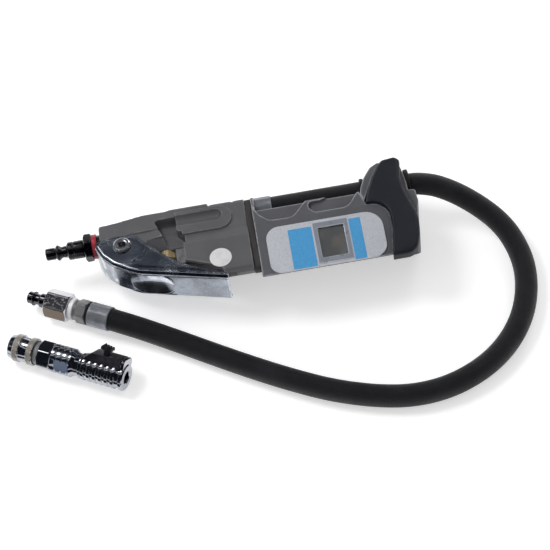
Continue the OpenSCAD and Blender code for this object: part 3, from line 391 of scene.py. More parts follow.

# %% [markdown]
# ## Finishes
# A small kit builds every material. It starts from the shader's own numbers, then adds a slow
# drift of colour, a grain in the bump, uneven gloss, and edges made a little lighter or
# darker, partly as rubbed wear and partly as a painted highlight. Patterns read Object
# coordinates, which are in metres, so a scale of 1000 has a 1 mm grain.

# %% Material kit
class Finish:
    """A material in the making, with short names for the nodes it needs."""

    def __init__(self, name, color, metallic=0.0, roughness=0.5, **sockets):
        self.mat = bpy.data.materials.new(name)
        self.mat.use_nodes = True
        self.tree = self.mat.node_tree
        self.shader = self.tree.nodes["Principled BSDF"]
        self.color = (*color, 1)
        self.shader.inputs["Base Color"].default_value = self.color
        self.shader.inputs["Metallic"].default_value = metallic
        self.shader.inputs["Roughness"].default_value = roughness
        for socket, value in sockets.items():
            self.shader.inputs[socket.replace("_", " ")].default_value = value
        self.place = self.node("ShaderNodeTexCoord").outputs["Object"]
        self.tint = None
        self.bump = None

    def node(self, kind, **settings):
        made = self.tree.nodes.new(kind)
        for key, value in settings.items():
            setattr(made, key, value)
        return made

    def link(self, source, target):
        self.tree.links.new(source, target)

    def stretched(self, scale, turn=(0, 0, 0), source=None):
        """Coordinates scaled and turned about the origin."""
        made = self.node("ShaderNodeMapping")
        made.inputs["Scale"].default_value = scale
        made.inputs["Rotation"].default_value = [math.radians(a) for a in turn]
        self.link(source or self.place, made.inputs["Vector"])
        return made.outputs["Vector"]

    def noise(self, scale, detail=3.0, source=None, rough=0.5):
        made = self.node("ShaderNodeTexNoise")
        made.inputs["Scale"].default_value = scale
        made.inputs["Detail"].default_value = detail
        made.inputs["Roughness"].default_value = rough
        self.link(source or self.place, made.inputs["Vector"])
        return made.outputs["Fac"]

    def cells(self, scale, source=None, feature="F1"):
        made = self.node("ShaderNodeTexVoronoi", feature=feature)
        made.inputs["Scale"].default_value = scale
        self.link(source or self.place, made.inputs["Vector"])
        return made.outputs["Distance"]

    def span(self, source, low, high, to_low=0.0, to_high=1.0):
        """Value moved from one range to another and kept inside it."""
        made = self.node("ShaderNodeMapRange")
        for socket, value in (("From Min", low), ("From Max", high),
                              ("To Min", to_low), ("To Max", to_high)):
            made.inputs[socket].default_value = value
        self.link(source, made.inputs["Value"])
        return made.outputs["Result"]

    def math(self, operation, a, b):
        made = self.node("ShaderNodeMath", operation=operation)
        for socket, value in zip(made.inputs, (a, b)):
            if isinstance(value, (int, float)):
                socket.default_value = value
            else:
                self.link(value, socket)
        return made.outputs["Value"]

    def paint(self, color, mask):
        """Lay another colour over the base where the mask is high."""
        made = self.node("ShaderNodeMix", data_type="RGBA")
        self.link(mask, made.inputs["Factor"])
        if self.tint is None:
            made.inputs["A"].default_value = self.color
        else:
            self.link(self.tint, made.inputs["A"])
        made.inputs["B"].default_value = (*color, 1)
        self.tint = made.outputs["Result"]
        self.link(self.tint, self.shader.inputs["Base Color"])
        return self

    def drift(self, amount, scale=60):
        """Slow light and dark clouds in the base colour."""
        return self.clouds([c * (1 - amount) for c in self.color[:3]], scale, 4, 0.35, 0.65, 1)

    def clouds(self, color, scale, detail, low, high, amount):
        """Uneven clouds of another colour."""
        return self.paint(color, self.span(self.noise(scale, detail), low, high, 0, amount))

    def edges(self, color, low=0.52, high=0.6, amount=0.7):
        """Paint the convex edges a paler colour, broken up by noise so that they aren't even:
        partly rubbed wear, partly a painted highlight.
        """
        sharp = self.node("ShaderNodeNewGeometry").outputs["Pointiness"]
        wear_and_highlight = self.span(sharp, low, high, 0, amount)
        self.paint(color, self.math("MULTIPLY", wear_and_highlight, self.span(
            self.noise(220, 4), 0.25, 0.6)))
        return self

    def relief(self, height, distance_mm, strength=1.0):
        """Add a height field to the bump."""
        made = self.node("ShaderNodeBump")
        made.inputs["Strength"].default_value = strength
        made.inputs["Distance"].default_value = distance_mm * MM
        self.link(height, made.inputs["Height"])
        if self.bump is not None:
            self.link(self.bump, made.inputs["Normal"])
        self.bump = made.outputs["Normal"]
        self.link(self.bump, self.shader.inputs["Normal"])
        return self

    def grain(self, scale, detail, distance_mm, strength):
        """Add noise to the bump."""
        return self.relief(self.noise(scale, detail), distance_mm, strength)

    def aligned(self, source, way):
        """Dot product of a vector with one fixed direction."""
        made = self.node("ShaderNodeVectorMath", operation="DOT_PRODUCT")
        self.link(source, made.inputs[0])
        made.inputs[1].default_value = way
        return made.outputs["Value"]

    def facing(self, way, low=0.9, high=0.97):
        """Mask of the faces that look one way."""
        normal = self.node("ShaderNodeNewGeometry").outputs["True Normal"]
        return self.span(self.aligned(normal, Vector(way).normalized()), low, high)

    def past(self, place, x):
        """Mask of the part of a turned piece beyond a station on its axis."""
        axis = place.to_3x3() @ Vector((1, 0, 0))
        start = (place.translation.dot(axis) + x) * MM
        return self.span(self.aligned(self.place, axis), start, start + 0.0001)

    def painted_reflection(self, color, mask):
        """Painted reflection: a dull colour laid over bare metal where the mask is high, which
        is no longer metal there.
        """
        self.paint(color, mask)
        self.link(self.span(mask, 0, 1, self.shader.inputs["Metallic"].default_value, 0),
                  self.shader.inputs["Metallic"])
        return self

    def gloss(self, mask, low, high, from_low=0.3, from_high=0.7):
        """Let a mask vary the roughness between two values."""
        self.link(self.span(mask, from_low, from_high, low, high),
                  self.shader.inputs["Roughness"])
        return self


def moulded(name, color, roughness, grain_mm, edge, metallic=0.0, shine=0.5):
    """Injection-moulded plastic: spark-eroded grain, soft colour drift, pale edges that are
    partly wear and partly painted highlight.
    """
    made = Finish(name, color, metallic, roughness, Specular_IOR_Level=shine)
    made.drift(0.16, 45).edges(edge, 0.515, 0.575, 0.55)
    made.grain(1600, 3, grain_mm, 0.55)
    made.relief(made.cells(900), grain_mm * 0.5, 0.35)
    made.gloss(made.noise(130, 5), roughness - 0.08, roughness + 0.1)
    return made


def plated(name, color, roughness, scratch=(1, 1, 1), mark=0.12, metallic=1.0):
    """Plated or turned metal: fine lines, faint clouds in the gloss, dull specks."""
    made = Finish(name, color, metallic, roughness)
    lines = made.noise(1.0, 4, made.stretched(scratch), 0.6)
    made.drift(mark, 90)
    made.relief(lines, 0.012, 0.5)
    made.gloss(made.noise(180, 5), max(roughness - 0.06, 0.04), roughness + 0.12)
    return made


print("material kit ready")

# %% [markdown]
# ## Plastic, rubber and metal
# The valve housing is dark glass-filled nylon with a spark-eroded grain. The display housing
# is the same moulding with a satin grey paint, its edges paler, partly rubbed and partly a
# painted highlight. Rubber is darker, and the bumper's is a little blue and smoother. The
# metals differ mostly in roughness and in the direction of their lines.

# %% Plain finishes
dark_shell = moulded("dark nylon", (0.1, 0.1, 0.108), 0.5, 0.05, (0.24, 0.24, 0.25))
grey_shell = moulded("grey satin paint", (0.116, 0.118, 0.129), 0.4, 0.03,
                     (0.5, 0.51, 0.55), 0.2)
# Paler edges on both shells: partly rubbed wear, partly painted highlight.
grey_shell.edges((0.42, 0.43, 0.46), 0.503, 0.535, 0.8)
dark_shell.edges((0.2, 0.2, 0.21), 0.503, 0.54, 0.7)
block_grey = moulded("grey block", (0.16, 0.16, 0.165), 0.5, 0.03, (0.3, 0.3, 0.31), 0.3)
bumper_rubber = moulded("bumper rubber", (0.014, 0.0165, 0.0235), 0.44, 0.03,
                        (0.07, 0.075, 0.09), shine=0.35)
black_rubber = moulded("black rubber", (0.011, 0.011, 0.012), 0.55, 0.04,
                       (0.04, 0.04, 0.042), shine=0.35)
gasket_rubber = moulded("gasket rubber", (0.045, 0.04, 0.04), 0.5, 0.04,
                        (0.1, 0.095, 0.095), shine=0.4)
black_plastic = moulded("gloss black plastic", (0.009, 0.0095, 0.013), 0.2, 0.012,
                        (0.05, 0.05, 0.06))
red_ring = moulded("red ring", (0.42, 0.035, 0.055), 0.35, 0.02, (0.6, 0.2, 0.2), 0.2)

zinc = plated("zinc plate", (0.37, 0.385, 0.425), 0.38, (400, 9000, 9000), 0.4, 0.55)
chrome = plated("chrome", (0.46, 0.475, 0.52), 0.08, (200, 5000, 5000), 0.12)
dark_chrome = plated("dark chrome", (0.12, 0.12, 0.13), 0.1, (200, 5000, 5000), 0.3)
knurled = plated("knurled steel", (0.75, 0.7, 0.64), 0.26, (900, 900, 900), 0.3, 0.75)
rivet_steel = plated("rivet steel", (0.5, 0.51, 0.54), 0.16, (900, 900, 900), 0.2, 0.9)
collar_white = plated("zinc white", (0.86, 0.87, 0.88), 0.3, (900, 900, 900), 0.1, 0.0)
gunmetal = plated("gunmetal", (0.085, 0.085, 0.09), 0.24, (300, 6000, 6000), 0.25)
dull_steel = plated("dull steel", (0.3, 0.298, 0.305), 0.4, (900, 900, 900), 0.35, 0.45)
bright_steel = plated("bright steel", (0.88, 0.88, 0.89), 0.22, (300, 9000, 9000), 0.06)
black_steel = plated("black steel", (0.05, 0.05, 0.055), 0.35, (900, 900, 900), 0.2)
brass = plated("brass", (0.78, 0.6, 0.33), 0.24, (5000, 300, 5000), 0.2, 0.6)
hex_steel = plated("hexagon steel", (0.62, 0.62, 0.65), 0.12, (200, 5000, 5000), 0.15)
neck_chrome = plated("neck chrome", (0.46, 0.475, 0.52), 0.08, (200, 5000, 5000), 0.12)
board_green = Finish("circuit board", (0.01, 0.09, 0.04), 0, 0.4)
board_green.drift(0.3, 400)
cell_wrap = Finish("cell sleeve", (0.03, 0.06, 0.2), 0, 0.25)
cell_wrap.drift(0.2, 200)

dull_steel.relief(dull_steel.cells(700), 0.08, 0.6)

# %% [markdown]
# ## Hose rubber
# The hose is wrapped in cloth while it cures, which leaves a fine slanted check
# in the rubber. Two sets of bands cross at an angle in the hose's own UV map.
# Their product gives small pads with grooves between them.

# %% Hose rubber
hose_rubber = Finish("hose rubber", (0.008, 0.0085, 0.0105), 0, 0.46,
                     Specular_IOR_Level=0.35)


def bands(finish, scale_mm, turn):
    """Even bands across the hose's UV map, one every so many millimetres."""
    made = finish.node("ShaderNodeTexWave", wave_type="BANDS", wave_profile="SIN")
    made.inputs["Scale"].default_value = 0.314 / (scale_mm * MM)
    made.inputs["Distortion"].default_value = 0.6
    made.inputs["Detail Scale"].default_value = 2.0
    uv = finish.node("ShaderNodeUVMap", uv_map="along").outputs["UV"]
    finish.link(finish.stretched((1, 1, 1), (0, 0, turn), uv), made.inputs["Vector"])
    return made.outputs["Fac"]


weave = hose_rubber.math("MULTIPLY", bands(hose_rubber, 0.9, 52),
                         bands(hose_rubber, 0.9, -52))
hose_rubber.paint((0.022, 0.023, 0.027), hose_rubber.span(weave, 0.35, 0.9, 0, 0.8))
hose_rubber.clouds((0.035, 0.036, 0.04), 35, 5, 0.55, 0.8, 0.3)
hose_rubber.relief(weave, 0.22, 0.9)
hose_rubber.grain(1500, 3, 0.03, 0.5)
hose_rubber.gloss(hose_rubber.noise(60, 4), 0.4, 0.56)
for hose in (free_hose, held_hose):
    hose.data.materials.append(hose_rubber.mat)
print("hose rubber on", free_hose.name, "and", held_hose.name)

# %% [markdown]
# ## Label, window and lever plating
# The label is a silver film with a sparkle, so its roughness and tint change in
# tiny flakes. The window is a clear lens over a dark, switched-off screen. The
# lever is pressed from sheet and chromed: broad soft waves from the press, fine
# draw lines across it, and a faint blue cast.

# %% Film, glass and lever
def film(name, color, metallic):
    made = Finish(name, color, metallic, 0.36)
    flakes = made.cells(2600)
    made.paint([min(c * 1.5 + 0.02, 1) for c in color], made.span(flakes, 0.0, 0.35, 0.75, 0))
    made.clouds([c * 0.72 for c in color], 900, 2, 0.45, 0.7, 0.5)
    made.relief(flakes, 0.01, 0.5)
    made.gloss(made.noise(300, 3), 0.28, 0.46)
    return made


silver_film = film("silver film", (0.6, 0.62, 0.67), 0.3)
blue_film = film("blue print", (0.075, 0.35, 0.68), 0.15)
frame_silver = plated("window frame silver", (0.3, 0.32, 0.37), 0.3, (3000, 3000, 3000),
                      0.1, 0.3)
label_up = (0, -math.sin(LABEL_TILT), math.cos(LABEL_TILT))
# Painted highlight: the frame's faces that do not face straight up from the label, its rounded
# edges and sides, are painted pale.
frame_silver.paint((0.7, 0.72, 0.8), frame_silver.math(
    "SUBTRACT", 1, frame_silver.facing(label_up, 0.93, 0.995)))

lens_clear = Finish("clear lens", (0.9, 0.92, 0.93), 0, 0.06, Transmission_Weight=1.0,
                    IOR=1.49)
lens_clear.gloss(lens_clear.noise(80, 3), 0.04, 0.1)
screen_dark = Finish("screen", (0.03, 0.029, 0.03), 0, 0.2)
screen_dark.clouds((0.13, 0.1, 0.075), 75, 2, 0.45, 0.68, 0.7)
screen_dark.clouds((0.1, 0.105, 0.11), 48, 3, 0.52, 0.7, 0.7)


def from_axis(finish, xyz, point):
    """Distance of the surface from an upright axis, in metres."""
    squares = [finish.math("POWER", finish.math("SUBTRACT", xyz[name], c * MM), 2)
               for name, c in zip("XY", point)]
    return finish.math("SQRT", finish.math("ADD", *squares), 0)


BOSS_R = 15.8
DRAW_LINES = (0, 0, 15)
lever_plate = Finish("lever chrome", (0.46, 0.5, 0.57), 1.0, 0.14)
lever_plate.drift(0.45, 60)
lever_plate.clouds((0.6, 0.63, 0.68), 1300, 3, 0.52, 0.72, 0.55)
lever_plate.clouds((0.3, 0.33, 0.39), 800, 4, 0.55, 0.75, 0.5)
split = lever_plate.node("ShaderNodeSeparateXYZ")
lever_plate.link(lever_plate.place, split.inputs["Vector"])
# Painted highlight: a pale ring, broken up by noise, along the step round the pivot boss.
off_boss = lever_plate.math("ABSOLUTE", lever_plate.math("SUBTRACT", from_axis(
    lever_plate, split.outputs, PIVOT), BOSS_R * MM), 0)
lever_plate.paint((0.85, 0.87, 0.92), lever_plate.math(
    "MULTIPLY", lever_plate.span(off_boss, 0.00015, 0.0006, 1, 0),
    lever_plate.span(lever_plate.noise(160, 3), 0.42, 0.62, 0.1, 0.9)))
streaks = lever_plate.noise(1, 2, lever_plate.stretched((1500, 20, 30), DRAW_LINES))
near_tip = lever_plate.math("MULTIPLY", lever_plate.span(
    split.outputs["X"], -0.031, -0.024), lever_plate.span(streaks, 0.5, 0.66))
lever_plate.paint((0.28, 0.31, 0.37), lever_plate.math("MULTIPLY", near_tip, 0.6))
# Paler edges of the sheet: partly rubbed wear, partly painted highlight.
lever_plate.edges((0.8, 0.83, 0.88), 0.53, 0.62, 0.8)
lever_plate.relief(near_tip, 0.04, 0.6)
lever_plate.relief(lever_plate.noise(
    1, 3, lever_plate.stretched((2600, 60, 90), DRAW_LINES), 0.6), 0.012, 0.6)
lever_plate.grain(60, 2, 0.3, 0.3)
lever_plate.grain(420, 5, 0.02, 0.5)
lever_plate.gloss(lever_plate.noise(110, 5), 0.08, 0.3)
print("film, glass and plating ready")

# %% [markdown]
# ## Lever
# The lever is the piece that the eye goes to first. It is modelled as the sheet
# metal that it is: one surface for the outside of the sheet, made thick
# afterwards. A strip follows the bent blade, quarter bends run along both of its
# sides, and two flat ears close them. The thumb dimple is pressed into the strip
# and the area round the pivot stands a little proud of the rest of each ear.

# %% Lever numbers
HOLE_R = 4.01
LEVER_Z = (13.0, 40.4)
MID_Z = sum(LEVER_Z) / 2
BEND_R = 3.0
SHEET_T = 1.6
WEB_TOP = 11.2
LEVER_END = -8.8
BLADE_SLOPE = math.radians(-15)
LEVER_SIDE = [(-94, 60, 0), (-94, 12.3, 5), (-90.9, 3.7, 9), (-83.5, -4.5, 12),
              (-73.2, -11.3, 12), (-67.4, -14.4, 10), (20, -37.82, 0), (20, 60, 0)]
EAR_EDGE = [(-8.8, -26.6, 0), (-12, -23.3, 2), (-39, -12.1, 20), (-49.9, -1.9, 20),
            (-60.7, 9.6, 4), (-65.9, 16.2, 6), (-79.5, 17.2, 10), (-91.6, 16.3, 3),
            (-93.5, 12.4, 1.2), (-91, 11.2, 0)]
DIMPLE_AT = Vector((-59.1, -16.7))


def resampled(points, step):
    """Points at even steps along a polyline, both ends kept."""
    run = [0.0]
    for a, b in zip(points, points[1:]):
        run.append(run[-1] + (b - a).length)
    count = max(2, round(run[-1] / step))
    out, k = [], 0
    for i in range(count + 1):
        s = run[-1] * i / count
        while k < len(run) - 2 and run[k + 1] < s:
            k += 1
        t = (s - run[k]) / max(run[k + 1] - run[k], 1e-9)
        out.append(points[k].lerp(points[k + 1], t))
    return out


def blade_line():
    """Outside of the blade from the top of its web to its free end."""
    line = [Vector(p) for p in rounded(LEVER_SIDE, 16)]
    out = [Vector((-94, WEB_TOP))]
    for a, b in zip(line, line[1:]):
        if b.y < WEB_TOP and a.y < 50 and b.x < LEVER_END:
            out.append(b)
        elif a.x < LEVER_END < b.x and b.y < 0:
            out.append(a.lerp(b, (LEVER_END - a.x) / (b.x - a.x)))
    return resampled(out, 0.55)


def dimple_depth(u, v):
    """Depth of the thumb dimple: a slope, a floor that leans back, a steep wall."""
    end = max(abs(u) - 4.2, 0) / 10.6
    r = math.hypot(end, v / 10.6)
    if r >= 1.14:
        return 0
    half = 10.6 * math.sqrt(max(1 - end * end, 0))
    rise = (v + half) / max(2 * half, 0.1)
    bowl = 0
    if 0 < rise < 1:
        slope = 1 - max(1 - rise / 0.52, 0) ** 1.5
        floor = 1 - 0.42 * max((rise - 0.5) / 0.4, 0) ** 1.2
        wall = 1 - max((rise - 0.88) / 0.12, 0) ** 2
        bowl = 2.8 * (half / 10.6) ** 2.6 * slope * floor * wall
    return bowl - 0.2 * math.exp(-((r - 1.02) / 0.05) ** 2)


def ear_step(x, y):
    """Small set-back of the ear away from the boss round the pivot."""
    reach = (Vector((x, y)) - PIVOT).length
    t = min(max((reach - 15.2) / 1.2, 0), 1)
    return 0.3 * t * t * (3 - 2 * t)


def ear_fill(edge, hole):
    """Triangles of an ear: its outline, the pivot hole and a grid between them."""
    points = [Vector(p) for p in edge + hole]
    loops = [list(range(len(edge))), list(range(len(edge), len(points)))]
    lows = (min(p.x for p in points), min(p.y for p in points))
    highs = (max(p.x for p in points), max(p.y for p in points))
    ring = [Vector(p) for p in edge]

    def clear(p):
        return all((p - q).length > 0.9 for q in points[:len(edge + hole)])

    x = lows[0] + 1
    while x < highs[0]:
        y = lows[1] + 1
        while y < highs[1]:
            p = Vector((x, y))
            if inside(p, ring) and (p - PIVOT).length > 5 and clear(p):
                points.append(p)
            y += 1.3
        x += 1.3
    verts, _, faces, *_ = delaunay_2d_cdt(points, [], loops, 0, 1e-5)
    kept = []
    for face in faces:
        middle = face_middle(face, verts)
        if inside(middle, ring) and (middle - PIVOT).length > HOLE_R:
            kept.append(tuple(face))
    return verts, kept


def make_lever():
    line = blade_line()
    count = len(line)
    ways = [(line[min(i + 1, count - 1)] - line[max(i - 1, 0)]).normalized()
            for i in range(count)]
    inward = [Vector((-w.y, w.x)) for w in ways]
    bends = [(BEND_R * (1 - math.cos(a)), LEVER_Z[0] + BEND_R * (1 - math.sin(a)))
             for a in (math.pi / 2 * i / 7 for i in range(8))]
    low, high = LEVER_Z[0] + BEND_R, LEVER_Z[1] - BEND_R
    rows = ([(d, z) for d, z in reversed(bends)]
            + [(0, low + (high - low) * i / 40) for i in range(1, 40)]
            + [(d, LEVER_Z[0] + LEVER_Z[1] - z) for d, z in bends])
    straight = Vector((math.cos(BLADE_SLOPE), math.sin(BLADE_SLOPE)))
    verts, faces = [], []
    for p, n in zip(line, inward):
        u = (p - DIMPLE_AT).dot(straight)
        for d, z in rows:
            q = p + n * (d + (dimple_depth(u, z - MID_Z) if d < 0.5 else 0))
            verts.append((q.x, q.y, z))
    size = len(rows)
    for i in range(count - 1):
        for j in range(size - 1):
            a, b = i * size + j, (i + 1) * size + j
            faces.append((a, b, b + 1, a + 1))
    seam = [tuple(p + n * BEND_R) for p, n in zip(line, inward)]
    hole = [(PIVOT.x + HOLE_R * math.cos(a), PIVOT.y + HOLE_R * math.sin(a))
            for a in (2 * math.pi * i / 48 for i in range(48))]
    back = [tuple(p) for p in resampled([Vector(p) for p in rounded(EAR_EDGE, 6)], 0.8)]
    ear_verts, ear_faces = ear_fill(seam + back[1:-1], hole)
    seam_line = [Vector(p) for p in seam]
    for z, side in ((LEVER_Z[1], 1), (LEVER_Z[0], -1)):
        base = len(verts)
        for p in ear_verts:
            away = min((p - q).length for q in seam_line)
            t = min(max((away - 0.5) / 3, 0), 1)
            verts.append((p.x, p.y, z - side * ear_step(p.x, p.y) * t))
        for face in ear_faces:
            ids = [base + i for i in face]
            faces.append(tuple(ids if side > 0 else reversed(ids)))
    mesh = bpy.data.meshes.new("lever_sheet")
    mesh.from_pydata([METRES @ Vector(v) for v in verts], [], faces)
    work = bmesh.new()
    work.from_mesh(mesh)
    bmesh.ops.remove_doubles(work, verts=work.verts, dist=2e-5)
    bmesh.ops.recalc_face_normals(work, faces=work.faces)
    work.faces.ensure_lookup_table()
    lowest = min(work.faces, key=lambda f: f.calc_center_median().y)
    if lowest.normal.y > 0:
        bmesh.ops.reverse_faces(work, faces=work.faces)
    work.to_mesh(mesh)
    work.free()
    mesh.shade_smooth()
    piece = add_object("lever_sheet", mesh, lever_plate.mat)
    thick = piece.modifiers.new("sheet thickness", "SOLIDIFY")
    thick.thickness = SHEET_T * MM
    thick.offset = -1
    bevelled(piece, 0.3, 3, 50)
    return declare(piece, "lever", "lever_chrome", "lever")


lever = make_lever()
print("lever:", len(lever.data.polygons), "faces before it is made thick")

# %% [markdown]
# ## Pivot rivet and air plug
# The pivot is a hollow rivet with rolled heads. The inlet plug is gunmetal, cut
# from one bar: a quick-plug nose with its locking groove, a shoulder, a hexagon
# and a neck with a red ring.

# %% Rivet and inlet
UPRIGHT = Matrix.Translation((PIVOT.x, PIVOT.y, 0)) @ Matrix.Rotation(
    math.radians(-90), 4, "Y")
NOSE_X = -89.5


def hex_turn(place, turn):
    """Place of a fitting turned about its own axis."""
    return place @ Matrix.Rotation(math.radians(30 + turn), 4, "X")


def from_nose(points):
    return [(NOSE_X + x, r) for x, r in points]


turned("lever_rivet", eased([
    (41.6, 2.6), (41.95, 2.6), (42.2, 3.6), (42.2, 4.9), (41.5, 5.95), (40.75, 5.95),
    (40.7, 3.95), (12.7, 3.95), (12.65, 5.95), (11.9, 5.95), (11.2, 4.9), (11.2, 3.6),
    (11.45, 2.6), (11.8, 2.6)], 0.45, 5), UPRIGHT, rivet_steel, "steel_bright", "lever_pin")

plug_front = from_nose([
    (-38.7, 2.2), (-39.2, 2.7), (-39.2, 3.5), (-38.6, 4.1), (-33.1, 4.1), (-32.7, 3.6),
    (-32.3, 3.6), (-31.9, 4.6), (-31.1, 5.3), (-30.1, 5.3), (-29.1, 4.3), (-27.9, 3.7),
    (-24.7, 4.2), (-24, 5.6), (-23.3, 6.15), (-20.4, 6.15), (-20.1, 5.9), (-19.7, 5.9),
    (-19.4, 6.15), (-13.6, 6.15), (-13, 5.7), (-12.5, 5.7)])
plug_back = from_nose([
    (-7, 6.6), (-6.9, 7.3), (-1.2, 7.3), (-1.1, 7.0), (21.45, 7.0), (21.45, 2.2)])
turned("inlet_plug_turned", eased(plug_front, 0.3)
       + hex_stations(NOSE_X - 12.5, NOSE_X - 7, 17, 0) + eased(plug_back, 0.2),
       hex_turn(AIR_PLACE, 12), gunmetal, "gunmetal", "inlet_plug")
turned("inlet_red_ring", eased(from_nose([
    (-5.2, 7.35), (-6.9, 7.35), (-6.9, 8.1), (-6.6, 8.4), (-3.9, 8.4), (-3.6, 8.1),
    (-3.6, 7.35), (-5.2, 7.35)]), 0.25), AIR_PLACE, red_ring, "ring_red", "inlet_ring")
print("rivet, inlet plug and ring turned")

# %% [markdown]
# ## Ferrules, grommet and gland
# A hose end is crimped in a die with ten jaws, so each ferrule has ten narrow
# flats along it and a plain lip at both ends.

# %% Hose ends in the housing
def crimped(r, apothem):
    """Circle with ten flats pressed into it."""
    def radius(angle):
        a = angle % (math.pi / 5) - math.pi / 10
        return min(r, apothem / math.cos(a))
    return radius


def crimp_stations(x, length, r, bore):
    """Crimped sleeve, open for the hose at its far end."""
    lip, flat, end = 1.5, crimped(r, r - 0.3), x + length
    return ([(x + 0.8, bore), (x, bore)] + eased([(x, r - 1.2), (x, r), (x + lip, r)], 0.5, 4)
            + [(x + lip + 0.5, flat), (end - lip - 0.5, flat)]
            + eased([(end - lip, r), (end, r), (end, r - 0.4), (end, 7.6)], 0.35, 4)
            + [(x + 1.6, 7.6), (x + 0.8, 7.0)])


turned("tail_ferrule_crimped", crimp_stations(12.9, 14.6, 8.4, 5.1), HOSE_PLACE, zinc,
       "steel_zinc", "tail_ferrule", sides=120)
turned("hose_grommet_moulded", eased([
    (100, 7.55), (88.6, 7.55), (88.6, 9), (89, 9.3), (90.9, 9.3), (90.9, 8.6), (119, 8.6),
    (119, 10.5), (121.3, 10.5), (121.8, 10), (121.8, 8.4), (121.2, 7.9), (121.2, 7.55),
    (110, 7.55)], 0.4, 4), HOSE_PLACE, black_rubber, "rubber_black", "hose_grommet")

GLAND_PLACE = Matrix.Translation((-47, 0, 26.7)) @ Matrix.Rotation(math.radians(90), 4, "Z")
turned("valve_gland_turned",
       [(-1, 2.56)] + eased([(-1, 3.2), (-0.6, 3.6), (-0.6, 4.6), (-1, 4.9)], 0.2)
       + hex_stations(-1, 4, 12, 0, 0.8)
       + eased([(3.9, 5.9), (15.95, 5.9), (15.95, 2.56)], 0.3),
       hex_turn(GLAND_PLACE, 0), brass, "brass", "valve_gland")
round_end = [(-13.2 - 2.5 * math.cos(a), 2.5 * math.sin(a))
             for a in (math.pi / 2 * i / 8 for i in range(1, 9))]
turned("inflate_plunger_ground",
       [(-15.7, 0)] + round_end + [(13.9, 2.5), (14.3, 2.1), (14.3, 0)], GLAND_PLACE,
       bright_steel, "steel_bright", "inflate_plunger", body="plunger", sides=48)
print("ferrule, grommet, gland and plunger turned")

# %% [markdown]
# ## Fittings on the free end
# From the tip backwards: the dark chromed nose of a quick plug, its hexagon with a painted
# reflection, speckled black on one face and brown on the lower face, a white collar, a pitted
# nut, a black seal and the crimped ferrule.

# %% Free end
def side_way(place, angle):
    """World direction that leaves a fitting's axis, from level in front upwards."""
    a = math.radians(angle)
    return place.to_3x3() @ Vector((0, -math.cos(a), math.sin(a)))


end_nose = turned("end_plug_nose", eased([
    (0.6, 2), (0, 2.5), (0, 3.6), (0.6, 4.15), (3.8, 4.15), (4, 4.8), (4.6, 5), (5.2, 4.8),
    (5.6, 3.7), (8.6, 3.7), (9.2, 4.6), (9.8, 4.9), (14.3, 4.9), (14.7, 4.9)], 0.25)
    + [(14.7, 2)], END_PLACE, dark_chrome, "chrome", "end_plug")
# Painted reflection on the hexagon: the face turned about 72 degrees up is painted near black
# with speckles, and the face turned about 12 degrees up is painted brown.
hex_steel.painted_reflection((0.02, 0.021, 0.026), hex_steel.math("MULTIPLY", hex_steel.facing(
    side_way(END_PLACE, 71.7)), hex_steel.span(hex_steel.noise(750, 4), 0.55, 0.66, 1, 0.4)))
hex_steel.paint((0.16, 0.13, 0.105), hex_steel.facing(side_way(END_PLACE, 11.7)))
end_plug = turned("end_plug_hexagon", [(14.6, 2)] + hex_stations(14.6, 31.4, 18, 0)
                  + [(31.4, 2)], hex_turn(END_PLACE, -11.7), hex_steel, "chrome", "end_plug")
collar = turned("end_collar_ring", eased([
    (32, 2), (31.4, 2), (31.4, 7.1), (31.8, 7.5), (34.4, 7.5), (34.9, 7.1), (34.9, 2),
    (33, 2)], 0.3), END_PLACE, collar_white, "steel_bright", "end_collar")
nut = turned("end_nut_turned", [(34.6, 2)] + eased([
    (34.6, 5.5), (34.6, 6.4), (35.4, 6.9), (36.1, 6.9), (36.4, 6.5), (36.8, 6.5),
    (37.1, 6.9), (37.6, 6.9)], 0.2) + hex_stations(37.6, 44.4, 15, 0, 0.8) + [(44.4, 2)],
    hex_turn(END_PLACE, -5), dull_steel, "steel_dull", "end_nut")
seal = turned("end_seal_ring", eased([
    (45, 2), (44.4, 2), (44.4, 7.7), (45, 8.3), (45.8, 8.3), (46.4, 7.7), (46.4, 2),
    (45.5, 2)], 0.5, 5), END_PLACE, black_rubber, "rubber_black", "end_seal")
pressed = crimped(8.4, 8.1)
end_ferrule = turned(
    "end_ferrule_crimped", [(46.4, 2)] + eased([(46.4, 7), (46.4, 8.4), (48, 8.4)], 0.5, 4)
    + [(48.5, pressed), (59.4, pressed)]
    + eased([(59.9, 8.4), (END_X, 8.4), (END_X, 7.6)], 0.4, 4) + [(END_X, 2)],
    hex_turn(END_PLACE, 6), zinc, "steel_zinc", "end_ferrule", sides=120)

# %% [markdown]
# ## Copies by Geometry Nodes
# Knurls, ribs and screws repeat one small shape. A node group copies the shape in
# rows and round the X axis. It is set up by named inputs, evaluated once and
# stored as a plain mesh, which then moves to its place.

